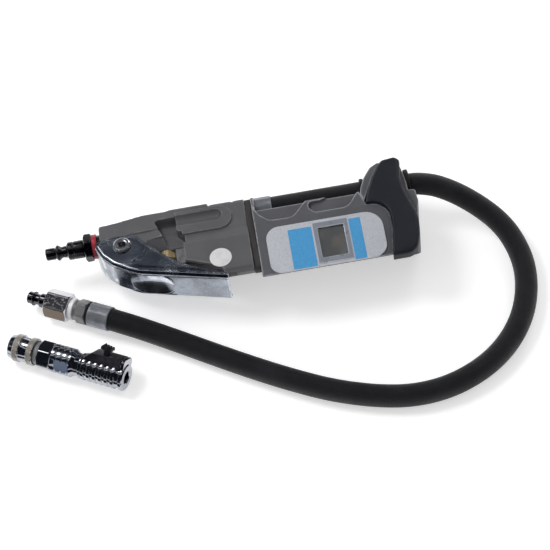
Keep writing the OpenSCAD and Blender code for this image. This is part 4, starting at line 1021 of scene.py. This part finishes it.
# %% Repeater
def make_repeater():
    tree = bpy.data.node_groups.new("repeat round and along", "GeometryNodeTree")
    face = tree.interface
    face.new_socket("Shape", in_out="INPUT", socket_type="NodeSocketGeometry")
    for name, kind in (("Around", "NodeSocketInt"), ("Rows", "NodeSocketInt"),
                       ("Row Step", "NodeSocketVector"), ("Stagger", "NodeSocketFloat"),
                       ("Material", "NodeSocketMaterial")):
        face.new_socket(name, in_out="INPUT", socket_type=kind)
    face.new_socket("Copies", in_out="OUTPUT", socket_type="NodeSocketGeometry")
    nodes, links = tree.nodes, tree.links
    given = nodes.new("NodeGroupInput").outputs
    result = nodes.new("NodeGroupOutput")

    def calc(operation, a, b=None):
        made = nodes.new("ShaderNodeMath")
        made.operation = operation
        for socket, value in zip(made.inputs, (a, b)):
            if isinstance(value, (int, float)):
                socket.default_value = value
            elif value is not None:
                links.new(value, socket)
        return made.outputs[0]

    index = nodes.new("GeometryNodeInputIndex").outputs[0]
    row = calc("FLOOR", calc("DIVIDE", calc("ADD", index, 0.5), given["Around"]))
    step = calc("SUBTRACT", index, calc("MULTIPLY", row, given["Around"]))
    turn = calc("ADD", calc("MULTIPLY", calc("DIVIDE", step, given["Around"]), 2 * math.pi),
                calc("MULTIPLY", row, given["Stagger"]))
    points = nodes.new("GeometryNodeMeshLine")
    links.new(calc("MULTIPLY", given["Around"], given["Rows"]), points.inputs["Count"])
    points.inputs["Offset"].default_value = (0, 0, 0)
    shift = nodes.new("ShaderNodeVectorMath")
    shift.operation = "SCALE"
    links.new(given["Row Step"], shift.inputs[0])
    links.new(row, shift.inputs["Scale"])
    place = nodes.new("GeometryNodeSetPosition")
    links.new(points.outputs["Mesh"], place.inputs["Geometry"])
    links.new(shift.outputs[0], place.inputs["Offset"])
    angle = nodes.new("ShaderNodeCombineXYZ")
    links.new(turn, angle.inputs["X"])
    copies = nodes.new("GeometryNodeInstanceOnPoints")
    links.new(place.outputs["Geometry"], copies.inputs["Points"])
    links.new(given["Shape"], copies.inputs["Instance"])
    links.new(angle.outputs[0], copies.inputs["Rotation"])
    real = nodes.new("GeometryNodeRealizeInstances")
    links.new(copies.outputs["Instances"], real.inputs["Geometry"])
    finish = nodes.new("GeometryNodeSetMaterial")
    links.new(real.outputs["Geometry"], finish.inputs["Geometry"])
    links.new(given["Material"], finish.inputs["Material"])
    links.new(finish.outputs["Geometry"], result.inputs["Copies"])
    return tree


repeater = make_repeater()


def repeated(name, mesh, finish, place=Matrix.Identity(4), around=1, rows=1,
             step=(0, 0, 0), stagger=0.0):
    """One stored mesh of all the copies of a small shape, moved to its place."""
    seed = add_object(name + "_one", mesh)
    mod = seed.modifiers.new("copies", "NODES")
    mod.node_group = repeater
    sockets = {s.name: s.identifier for s in repeater.interface.items_tree
               if s.in_out == "INPUT"}
    for key, value in (("Around", around), ("Rows", rows),
                       ("Row Step", [c * MM for c in step]), ("Stagger", stagger),
                       ("Material", finish.mat)):
        mod[sockets[key]] = value
    seed.update_tag()
    graph = bpy.context.evaluated_depsgraph_get()
    graph.update()
    made = bpy.data.meshes.new_from_object(seed.evaluated_get(graph),
                                           preserve_all_data_layers=True, depsgraph=graph)
    made.name = name
    bpy.data.objects.remove(seed)
    shift = place.copy()
    shift.translation = shift.translation * MM
    made.transform(shift)
    if not made.materials:
        made.materials.append(finish.mat)
    return add_object(name, made)


print("repeater inputs:", [s.name for s in repeater.interface.items_tree
                           if s.in_out == "INPUT"])

# %% [markdown]
# ## Loose connector
# The clip-on connector lies beside the tool. Its quick coupler has a sliding
# sleeve with two knurled bands. Behind it are a hexagon, a grooved neck with two
# wrench flats, a ribbed barrel and a gloss black shell that carries the thumb tab.

# %% Connector, metal parts
turned("coupler_body_turned", eased([
    (6, 5.2), (1.3, 5.2), (0.8, 5.7), (0.8, 6.3), (1.4, 6.9), (19.6, 6.9), (19.6, 7.9),
    (22.6, 7.9), (22.6, 3)], 0.25) + [(17, 3), (17, 5.2)],
    CONNECTOR_PLACE, dull_steel, "steel_dull", "coupler_body")
turned("coupler_sleeve_turned", eased([
    (3, 7.3), (1.4, 7.3), (1, 7.5), (1, 7.9), (2.6, 8.3), (4.6, 8.6), (4.7, 9.15),
    (8.9, 9.15), (9.2, 8.5), (14.6, 8.5), (14.9, 9.15), (18.9, 9.15), (19.3, 8.8),
    (19.3, 8.2), (15.4, 8.2), (15.4, 6.96), (4.4, 6.96), (4.4, 7.3)], 0.2),
    CONNECTOR_PLACE, chrome, "chrome", "coupler_sleeve", body="sleeve")


def stud(x, r, length, width, height):
    """One four-sided tooth of a knurl, standing on a radius."""
    base = [(x - length / 2, r, 0), (x, r, -width / 2), (x + length / 2, r, 0),
            (x, r, width / 2), (x, r + height, 0), (x, r - 0.2, 0)]
    faces = [(0, 1, 4), (1, 2, 4), (2, 3, 4), (3, 0, 4), (1, 0, 5), (2, 1, 5), (3, 2, 5),
             (0, 3, 5)]
    return mesh_from("stud", base, faces, sharp=20)


TEETH = 46
for number, x0 in enumerate((5.2, 15.3)):
    declare(repeated("sleeve_knurl_" + str(number + 1), stud(x0, 9.12, 1.3, 1.3, 0.4),
                     knurled, CONNECTOR_PLACE, around=TEETH, rows=6, step=(0.62, 0, 0),
                     stagger=math.pi / TEETH), "sleeve", "chrome")

ball_side = [(6 - 0.7 * math.cos(a), round(0.7 * math.sin(a), 9))
             for a in (math.pi * k / 10 for k in range(11))]
ball = spun("ball", ball_side, Matrix.Translation((0, 5.92, 0)), sides=20)
declare(repeated("coupler_ball_set", ball, bright_steel, hex_turn(CONNECTOR_PLACE, 0),
                 around=6), "inflator", "steel_bright", "coupler_balls")
turned("connector_hex_milled", [(22.6, 3)] + hex_stations(22.6, 32.2, 18, 0) + [(32.2, 3)],
       hex_turn(CONNECTOR_PLACE, 3.3), chrome, "chrome", "connector_hex")

FLAT_TURN = math.radians(75.3 + 90)
FLAT_HALF = 8.48


def flatted(r):
    """Round bar with two wrench flats across from each other."""
    def radius(angle):
        a = (angle + FLAT_TURN) % math.pi
        a = min(a, math.pi - a)
        return min(r, FLAT_HALF / max(math.cos(a), 1e-3))
    return radius


neck_line = [(32.2, 9), (32.4, 9.45), (32.7, 9.65)]
for groove in range(3):
    x0 = 32.2 + 4.3 * groove
    neck_line += [(x0 + 3.5, 9.65), (x0 + 3.8, 9.05), (x0 + 4.3, 9.05), (x0 + 4.6, 9.65)]
neck_line = eased(neck_line + [(46.6, 9.65), (47.2, 9.3), (49.2, 7.8), (52.3, 7.7),
                               (52.3, 3)], 0.22)
# Painted reflection: the wrench flat of the neck, short of the barrel, is painted a dull
# blue-grey.
flat_reflection_mask = neck_chrome.facing(CONNECTOR_PLACE.to_3x3() @ Vector(
    (0, math.cos(FLAT_TURN), -math.sin(FLAT_TURN))), 0.985, 0.995)
neck_chrome.painted_reflection((0.075, 0.11, 0.18), neck_chrome.math(
    "SUBTRACT", flat_reflection_mask, neck_chrome.past(CONNECTOR_PLACE, 46.3)))
turned("connector_neck_turned",
       [(32.2, 3)] + [(x, flatted(r) if 33.4 <= x <= 46.2 else r) for x, r in neck_line],
       CONNECTOR_PLACE, neck_chrome, "chrome", "connector_neck", sides=144)

barrel_line = [(52.3, 3), (52.3, 8.2), (52.8, 8.7), (53.8, 8.7), (54.3, 8.1)]
for rib in range(6):
    x0 = 54.5 + 4.3 * rib
    barrel_line += [(x0, 8.2), (x0 + 0.45, 9.2), (x0 + 2.65, 9.2), (x0 + 3.1, 8.2)]
turned("connector_barrel_turned", eased(barrel_line + [
    (81.6, 8.2), (82.1, 9.2), (84, 9.2), (84.8, 8.4), (84.8, 4.8), (84.2, 4.2),
    (75.8, 4.2), (75.8, 4.6), (72, 4.6), (72, 3)], 0.3, 4),
    CONNECTOR_PLACE, chrome, "chrome", "connector_barrel", sides=128)

along_x = Matrix(((0, 0, 1, 0), (1, 0, 0, 0), (0, 1, 0, 0), (0, 0, 0, 1)))
plate = piece("connector_end_plate", prism("end_plate", rounded([
    (-7, 3.5, 0), (-7, 12.8, 3), (7, 12.8, 3), (7, 3.5, 0)]), 81.7, 84,
    CONNECTOR_PLACE @ along_x), chrome, "inflator", "chrome", "connector_barrel")
bevelled(plate, 0.35, 4)
turned("mouth_seal_ring", eased([
    (73, 1.8), (72.05, 1.8), (72.05, 4.5), (75.7, 4.5), (75.7, 2.4), (75.1, 1.8),
    (74, 1.8)], 0.35, 4), CONNECTOR_PLACE, black_rubber, "rubber_black", "mouth_seal")
print("metal parts of the connector turned")

# %% [markdown]
# ## Shell and thumb tab of the connector
# Both are gloss black mouldings with soft corners. The tab's four ribs are copies
# of one. The side of the shell stays bare.

# %% Shell and tab
along_y = Matrix(((1, 0, 0, 0), (0, 0, -1, 0), (0, 1, 0, 0), (0, 0, 0, 1)))
shell = piece("connector_shell_moulded", prism("connector_shell_moulded", rounded([
    (54.3, 3.2, 0), (54.3, 6.6, 1.6), (59.9, 12.4, 3.2), (81.55, 12.4, 0.6),
    (81.55, 3.2, 0)]), -6.5, 6.5, CONNECTOR_PLACE @ along_y), black_plastic, "inflator",
    "plastic_black", "connector_shell")
bevelled(shell, 1.6, 6)

TAB_PLACE = CONNECTOR_PLACE @ Matrix.Translation((68.4, 0, 11))
HEAD_PLACE = TAB_PLACE @ Matrix.Translation((0, 0, 4.2)) @ Matrix.Rotation(
    math.radians(10), 4, "Y")


def rod_y(name, radius, length, finish, slot, *nodes, body="inflator", ease=0.25):
    """Short rod across the connector, under the thumb tab, with eased ends."""
    ends = [(-length / 2, 0), (-length / 2, radius), (length / 2, radius), (length / 2, 0)]
    return turned(name, eased(ends, ease), TAB_PLACE @ Matrix.Rotation(
        math.radians(90), 4, "Z"), finish, slot, *nodes, body=body, sides=48)


tab = piece("thumb_tab_head", prism("thumb_tab_head", rounded(
    [(-4, -4, 1), (3.8, -4, 1), (3.8, 4, 1), (-4, 4, 1)], 6), 0, 1.6, HEAD_PLACE),
    black_plastic, "tab", "plastic_black", "thumb_tab")
bevelled(tab, 0.35, 4)
stem = piece("thumb_tab_stem", prism("thumb_tab_stem", rounded(
    [(-1.4, -2.3, 0.3), (1.4, -2.3, 0.3), (1.4, 2.3, 0.3), (-1.4, 2.3, 0.3)], 4),
    0.4, 4.6, TAB_PLACE), black_plastic, "tab", "plastic_black")
bevelled(stem, 0.2)
rod_y("thumb_tab_hub", 1.45, 4.6, black_plastic, "plastic_black", body="tab")
rib = prism("tab_rib", [(-3.75, -3.8), (-2.35, -3.8), (-2.35, 3.8), (-3.75, 3.8)], 1.4, 2.3)
soft = bmesh.new()
soft.from_mesh(rib)
bmesh.ops.bevel(soft, geom=soft.edges[:], offset=0.28 * MM, segments=3, affect="EDGES")
soft.to_mesh(rib)
soft.free()
ribs = repeated("thumb_tab_ribs", rib, black_plastic, HEAD_PLACE, rows=4, step=(1.9, 0, 0))
ribs.data.shade_smooth()
declare(ribs, "tab", "plastic_black")
rod_y("tab_pin_rod", 0.8, 11.6, bright_steel, "steel_bright", "tab_pin", ease=0.2)
print("shell and tab made, ribs:", len(ribs.data.polygons), "faces")

# %% [markdown]
# ## Moulded housings
# The housings keep the shape of their CAD solids, but a moulding has no knife
# edges. Each is copied, closed inside, rebuilt as an even skin about 0.45 mm
# fine and relaxed, which rounds its edges by roughly a millimetre. The even skin
# also lets the finish find the edges.

# %% Softened solids
def softened(node, finish, slot, voxel, rounds, most, fill):
    """Skin of a CAD solid with soft edges, in place of the solid itself."""
    name = node + "_moulded"
    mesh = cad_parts[node].data.copy()
    mesh.name = name
    work = bmesh.new()
    work.from_mesh(mesh)
    bmesh.ops.remove_doubles(work, verts=work.verts, dist=2e-6)
    if fill:
        lo, hi = (Vector(c) * MM for c in fill)
        size = hi - lo
        bmesh.ops.create_cube(work, size=1, matrix=Matrix.Translation((lo + hi) / 2)
                              @ Matrix.Diagonal((*size, 1)))
    work.to_mesh(mesh)
    work.free()
    mesh.materials.clear()
    piece = add_object(name, mesh, finish.mat)
    skin = piece.modifiers.new("skin", "REMESH")
    skin.mode = "VOXEL"
    skin.voxel_size = voxel * MM
    skin.use_smooth_shade = True
    relax = piece.modifiers.new("relax", "SMOOTH")
    relax.factor = 0.5
    relax.iterations = rounds
    graph = bpy.context.evaluated_depsgraph_get()
    dense = len(piece.evaluated_get(graph).data.polygons) * 2
    if dense > most:
        fewer = piece.modifiers.new("fewer", "DECIMATE")
        fewer.ratio = most / dense
        graph = bpy.context.evaluated_depsgraph_get()
    made = bpy.data.meshes.new_from_object(piece.evaluated_get(graph))
    made.name = name
    piece.modifiers.clear()
    piece.data = made
    made.shade_smooth()
    print(name, len(made.polygons), "faces")
    return declare(piece, "inflator", slot, node)


COARSE = 1.0
for node, finish, slot, voxel, rounds, most, fill in (
        ("valve_housing", dark_shell, "shell_dark", 0.42, 6, 190000, None),
        ("display_housing", grey_shell, "shell_grey", 0.42, 10, 190000,
         ((24, -9, 4), (86, 15, 38.5))),
        ("end_cover", grey_shell, "shell_grey", 0.38, 8, 120000, None),
        ("end_bumper", bumper_rubber, "rubber_bumper", 0.42, 8, 120000, None),
        ("seam_gasket", gasket_rubber, "rubber_black", 0.4, 5, 90000, None)):
    softened(node, finish, slot, voxel * COARSE, rounds, most, fill)
bracket = piece("gland_bracket_block", prism("gland_bracket_block", [
    (-40.9, -8), (-34.9, -8), (-34.9, 4.2), (-40.9, 4.2)], 20.2, 33), block_grey,
    "inflator", "block_grey", "gland_bracket")
bevelled(bracket, 0.4)

# %% [markdown]
# ## Label and window
# The label is a clear-edged film plate with two printed blue bands. It carries no
# words or marks. A raised silver frame stands round the window, and the lens
# covers the dark screen. A plain round sticker sits on the valve housing's face.

# %% Label, window and sticker
LABEL_PLACE = Matrix.Translation((58.9, -34.3, 40.2)) @ Matrix.Rotation(LABEL_TILT, 4, "X")


def holed(name, loops, z0, z1, place, sharp=35):
    """Flat plate whose first loop is its outline and whose others are holes."""
    points = [Vector(p) for loop in loops for p in loop]
    rings, first = [], 0
    for loop in loops:
        rings.append(list(range(first, first + len(loop))))
        first += len(loop)
    verts2, _, faces2, *_ = delaunay_2d_cdt(points, [], rings, 0, 1e-6)
    flat = []
    for face in faces2:
        middle = face_middle(face, verts2)
        if inside(middle, loops[0]) and not any(inside(middle, h) for h in loops[1:]):
            flat.append(tuple(face))
    n = len(verts2)
    verts = [(p.x, p.y, z) for z in (z0, z1) for p in verts2]
    faces = [tuple(reversed(f)) for f in flat] + [tuple(i + n for i in f) for f in flat]
    for ring in rings:
        for a, b in zip(ring, ring[1:] + ring[:1]):
            faces.append((a, b, b + n, a + n))
    mesh = mesh_from(name, verts, faces, place, sharp)
    work = bmesh.new()
    work.from_mesh(mesh)
    bmesh.ops.dissolve_limit(work, angle_limit=0.01, verts=work.verts, edges=work.edges,
                             delimit={"MATERIAL"})
    work.to_mesh(mesh)
    work.free()
    return mesh


def rectangle(x0, y0, x1, y1, radius=0.0, steps=4):
    return rounded([(x0, y0, radius), (x0, y1, radius), (x1, y1, radius),
                    (x1, y0, radius)], steps)


def laid(name, mesh, finish, slot, node, edge, segments=3):
    """Piece of the label or its window, with its edges rounded."""
    return bevelled(piece(name, mesh, finish, "inflator", slot, node), edge, segments)


label_outline = rounded([(-38.8, 0.2, 7), (-38.8, 34.4, 9), (38.8, 34.4, 12),
                         (38.8, 0.2, 9)], 12)
WINDOW = (-7.4, 1.7, 16.2, 32.3)
laid("label_film_plate", holed("label_film_plate", [label_outline, rectangle(*WINDOW, 0.6)],
                               0, 1, LABEL_PLACE),
     silver_film, "label_silver", "label_plate", 0.32)
for number, (x0, x1, top) in enumerate(((-24, -8.2, 30.3), (16.8, 24.6, 31.2))):
    piece("label_band_" + str(number + 1), prism(
        "label_band", rectangle(x0, 0.55, x1, top, 0.5), 0.98, 1.06, LABEL_PLACE),
        blue_film, "inflator", "label_blue", "label_stripes")
laid("window_frame_rim", holed("window_frame_rim", [
    rectangle(*WINDOW, 1.0), rectangle(-4.3, 5.7, 13.1, 28.3, 0.6)], 0.02, 1.6, LABEL_PLACE),
    frame_silver, "frame_silver", "window_frame", 0.5, 4)
laid("display_lens_clear", prism("display_lens_clear", rectangle(
    -4.25, 5.75, 13.05, 28.25, 0.5), -1, 1, LABEL_PLACE),
    lens_clear, "lens", "display_lens", 0.25)
laid("lcd_screen_glass", prism("lcd_screen_glass", rectangle(
    -4, 6, 12.8, 28, 0.3), -3.8, -1.05, LABEL_PLACE),
    screen_dark, "lcd", "lcd_screen", 0.2, 2)

sticker_white = Finish("sticker paper", (0.66, 0.66, 0.67), 0, 0.45)
sticker_white.clouds((0.5, 0.5, 0.51), 260, 5, 0.45, 0.75, 0.6)
sticker_white.grain(900, 3, 0.02, 0.5)
turned("round_sticker", eased([(-0.02, 0), (-0.02, 7.3), (0.09, 7.3), (0.09, 0)], 0.04),
       Matrix.Translation((-11.3, -16.1, 44)) @ Matrix.Rotation(
           math.radians(-90), 4, "Y"), sticker_white, "label_silver")
print("label, window and sticker laid")

# %% [markdown]
# ## Screws and inner parts
# Four socket screws close the back. The parts inside are mostly hidden, but each
# gets its own finish on the CAD solid.

# %% Screws and inner parts
def screw_mesh():
    """Socket head screw standing on Z, modelled at the origin."""
    socket = [(x, limited(hexagon(3.0), 1.55)) for x in (1.99, 0.75)]
    side = eased([(0.6, 1.75), (0.6, 2.7), (0.9, 3), (3, 3), (3, 1.5)], 0.25)
    shank = [(11, 1.5), (11.5, 1.1), (11.5, 0)]
    return spun("screw", [(2, 0)] + socket + side + shank,
                Matrix.Rotation(math.radians(-90), 4, "Y"), sides=48)


for number, (first, step) in enumerate((((-28, 8, 0), (22, 2, 0)), ((20, 4, 0), (70, -4, 0)))):
    declare(repeated("housing_screw_pair_" + str(number + 1), screw_mesh(), black_steel,
                     Matrix.Translation(first), rows=2, step=step),
            "inflator", "steel_black", "housing_screws")

for node, finish in (("circuit_board", board_green), ("pressure_sensor", zinc),
                     ("battery_cells", cell_wrap), ("battery_contacts", bright_steel),
                     ("valve_block", brass), ("hose_tail", zinc)):
    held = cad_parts[node]
    held.data.materials.clear()
    held.data.materials.append(finish.mat)
print("screws and inner parts dressed")

# %% [markdown]
# ## Bench, light and background
# A pale bench carries the shadow and the world is a soft white room. Bright metal
# needs something dark to mirror, or it would look like white paint, and black
# rubber would turn grey. So dark parts of a large ball stand round the X axis, and
# only reflections see them. The gaps between them draw bright lines along the
# metal. Small cards on the bench do the same for the lever and the connector, and
# a bright pane stands for a window. Three soft lamps give shape: a key from the
# upper left, a fill in front and a rim behind.

# %% Stage
def seen_rays(tree):
    """Value that is 1 for rays seen directly, in a mirror or through glass."""
    rays = tree.nodes.new("ShaderNodeLightPath").outputs
    seen = rays["Is Camera Ray"]
    for name in ("Is Glossy Ray", "Is Transmission Ray"):
        most = tree.nodes.new("ShaderNodeMath")
        most.operation = "MAXIMUM"
        tree.links.new(seen, most.inputs[0])
        tree.links.new(rays[name], most.inputs[1])
        seen = most.outputs["Value"]
    return seen


def matt(name, shade, glow=0.0):
    """Finish without any gloss, which may glow."""
    made = Finish(name, shade, 0, 1, Specular_IOR_Level=0.0)
    made.shader.inputs["Emission Color"].default_value = (1, 1, 1, 1)
    made.shader.inputs["Emission Strength"].default_value = glow
    return made


def make_floor():
    finish = matt("bench", (0.84, 0.84, 0.845))
    finish.shader.inputs["Roughness"].default_value = 0.8
    finish.link(finish.math("MULTIPLY", seen_rays(finish.tree), 0.42),
                finish.shader.inputs["Emission Strength"])
    mesh = prism("bench", rectangle(-3000, -3000, 3000, 3000), -20, 0)
    add_object("bench", mesh, finish.mat)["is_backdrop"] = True


def make_world():
    world = bpy.data.worlds.new("room")
    world.use_nodes = True
    tree = world.node_tree
    room = tree.nodes["Background"].inputs
    level = tree.nodes.new("ShaderNodeMapRange")
    level.inputs["To Min"].default_value = 0.5
    level.inputs["To Max"].default_value = 1.0
    tree.links.new(seen_rays(tree), level.inputs["Value"])
    tree.links.new(level.outputs["Result"], room["Strength"])
    room["Color"].default_value = (1, 1, 1, 1)
    scene.world = world


def aim(item, place, target):
    """Stand a lamp or pane at a place, looking at a target."""
    item.location = Vector(place) * MM
    item.rotation_mode = "QUATERNION"
    item.rotation_quaternion = (Vector(target) - Vector(place)).to_track_quat("-Z", "Y")


def lamp(name, place, size, power, tall=None, mirrored=False):
    data = bpy.data.lights.new(name, "AREA")
    data.shape = "RECTANGLE"
    data.size = size * MM
    data.size_y = (tall or size) * MM
    data.energy = power
    light = bpy.data.objects.new(name, data)
    light.visible_glossy = mirrored
    aim(light, place, (20, -20, 20))
    scene.collection.objects.link(light)


def only_mirrored(name, mesh, shade, glow=0.0):
    """Piece of the stage that nothing but reflections can see."""
    card = add_object(name, mesh, matt(name, shade, glow).mat)
    card.visible_camera = card.visible_diffuse = card.visible_shadow = False
    card.visible_transmission = False
    card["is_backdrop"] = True
    return card


def vault(name, first, last, shade, reach=1600):
    """Part of a dark ball round the X axis, from one height angle to another."""
    verts, faces, rows, sides = [], [], 20, 40
    for i in range(rows + 1):
        a = math.radians(first + (last - first) * i / rows)
        for k in range(sides + 1):
            b = math.radians(4 + 172 * k / sides)
            verts.append((-reach * math.cos(b), -reach * math.sin(b) * math.cos(a),
                          reach * math.sin(b) * math.sin(a)))
    for i in range(rows):
        for k in range(sides):
            a = i * (sides + 1) + k
            faces.append((a, a + 1, a + sides + 2, a + sides + 1))
    only_mirrored(name, mesh_from(name, verts, faces), shade)


def floor_card(name, place, width, height, turn, shade, glow=0.0):
    """Card lying on the bench, dark or bright."""
    flat = Matrix.Translation(place) @ Matrix.Rotation(math.radians(turn), 4, "Z")
    only_mirrored(name, prism(name, rectangle(-width / 2, -height / 2, width / 2, height / 2),
                              0, 0.3, flat), shade, glow)


NIGHT = (0.014, 0.017, 0.025)
make_floor()
make_world()
lamp("key", (-650, 420, 1150), 520, 8.5)
lamp("fill", (250, -1100, 700), 700, 1.8)
lamp("rim", (600, 900, 500), 260, 2.2, 700, mirrored=True)
vault("vault_front", 1, 86, NIGHT)
vault("vault_top", 92, 116, NIGHT)
vault("vault_back", 116, 131, (0.14, 0.15, 0.175))
vault("vault_low", 131, 164, (0.03, 0.033, 0.042))
floor_card("card_by_connector", (-152, -135, 0.4), 150, 120, -28.3, NIGHT)
floor_card("card_by_lever", (-97, -16, 0.4), 27, 13, 23.2, (0.05, 0.055, 0.07))
floor_card("card_under_dimple", (-65, -17.5, 0.1), 34, 15, -15, (0.03, 0.036, 0.05))
floor_card("bright_card", (-66.5, -20.3, 0.5), 9.5, 5, -15, NIGHT, 2.0)
pane = only_mirrored("window", prism("window", rectangle(-150, -150, 150, 150), -1, 1),
                     NIGHT, 6.0)
aim(pane, (-480, 430, 1080), (0, 0, 0))
scene.view_settings.view_transform = "Standard"
print("stage set")

# %% [markdown]
# ## Sizes and table
# The box of the dressed model is printed beside the CAD box, so that the two can be compared.

# %% Finish
seen_box = [list(corner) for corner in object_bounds()]
for axis, (a, b, c, d) in enumerate(zip(*cad_box, *seen_box)):
    print("xyz"[axis], "CAD", round(a * 1000, 2), round(b * 1000, 2),
          "dressed", round(c * 1000, 2), round(d * 1000, 2))
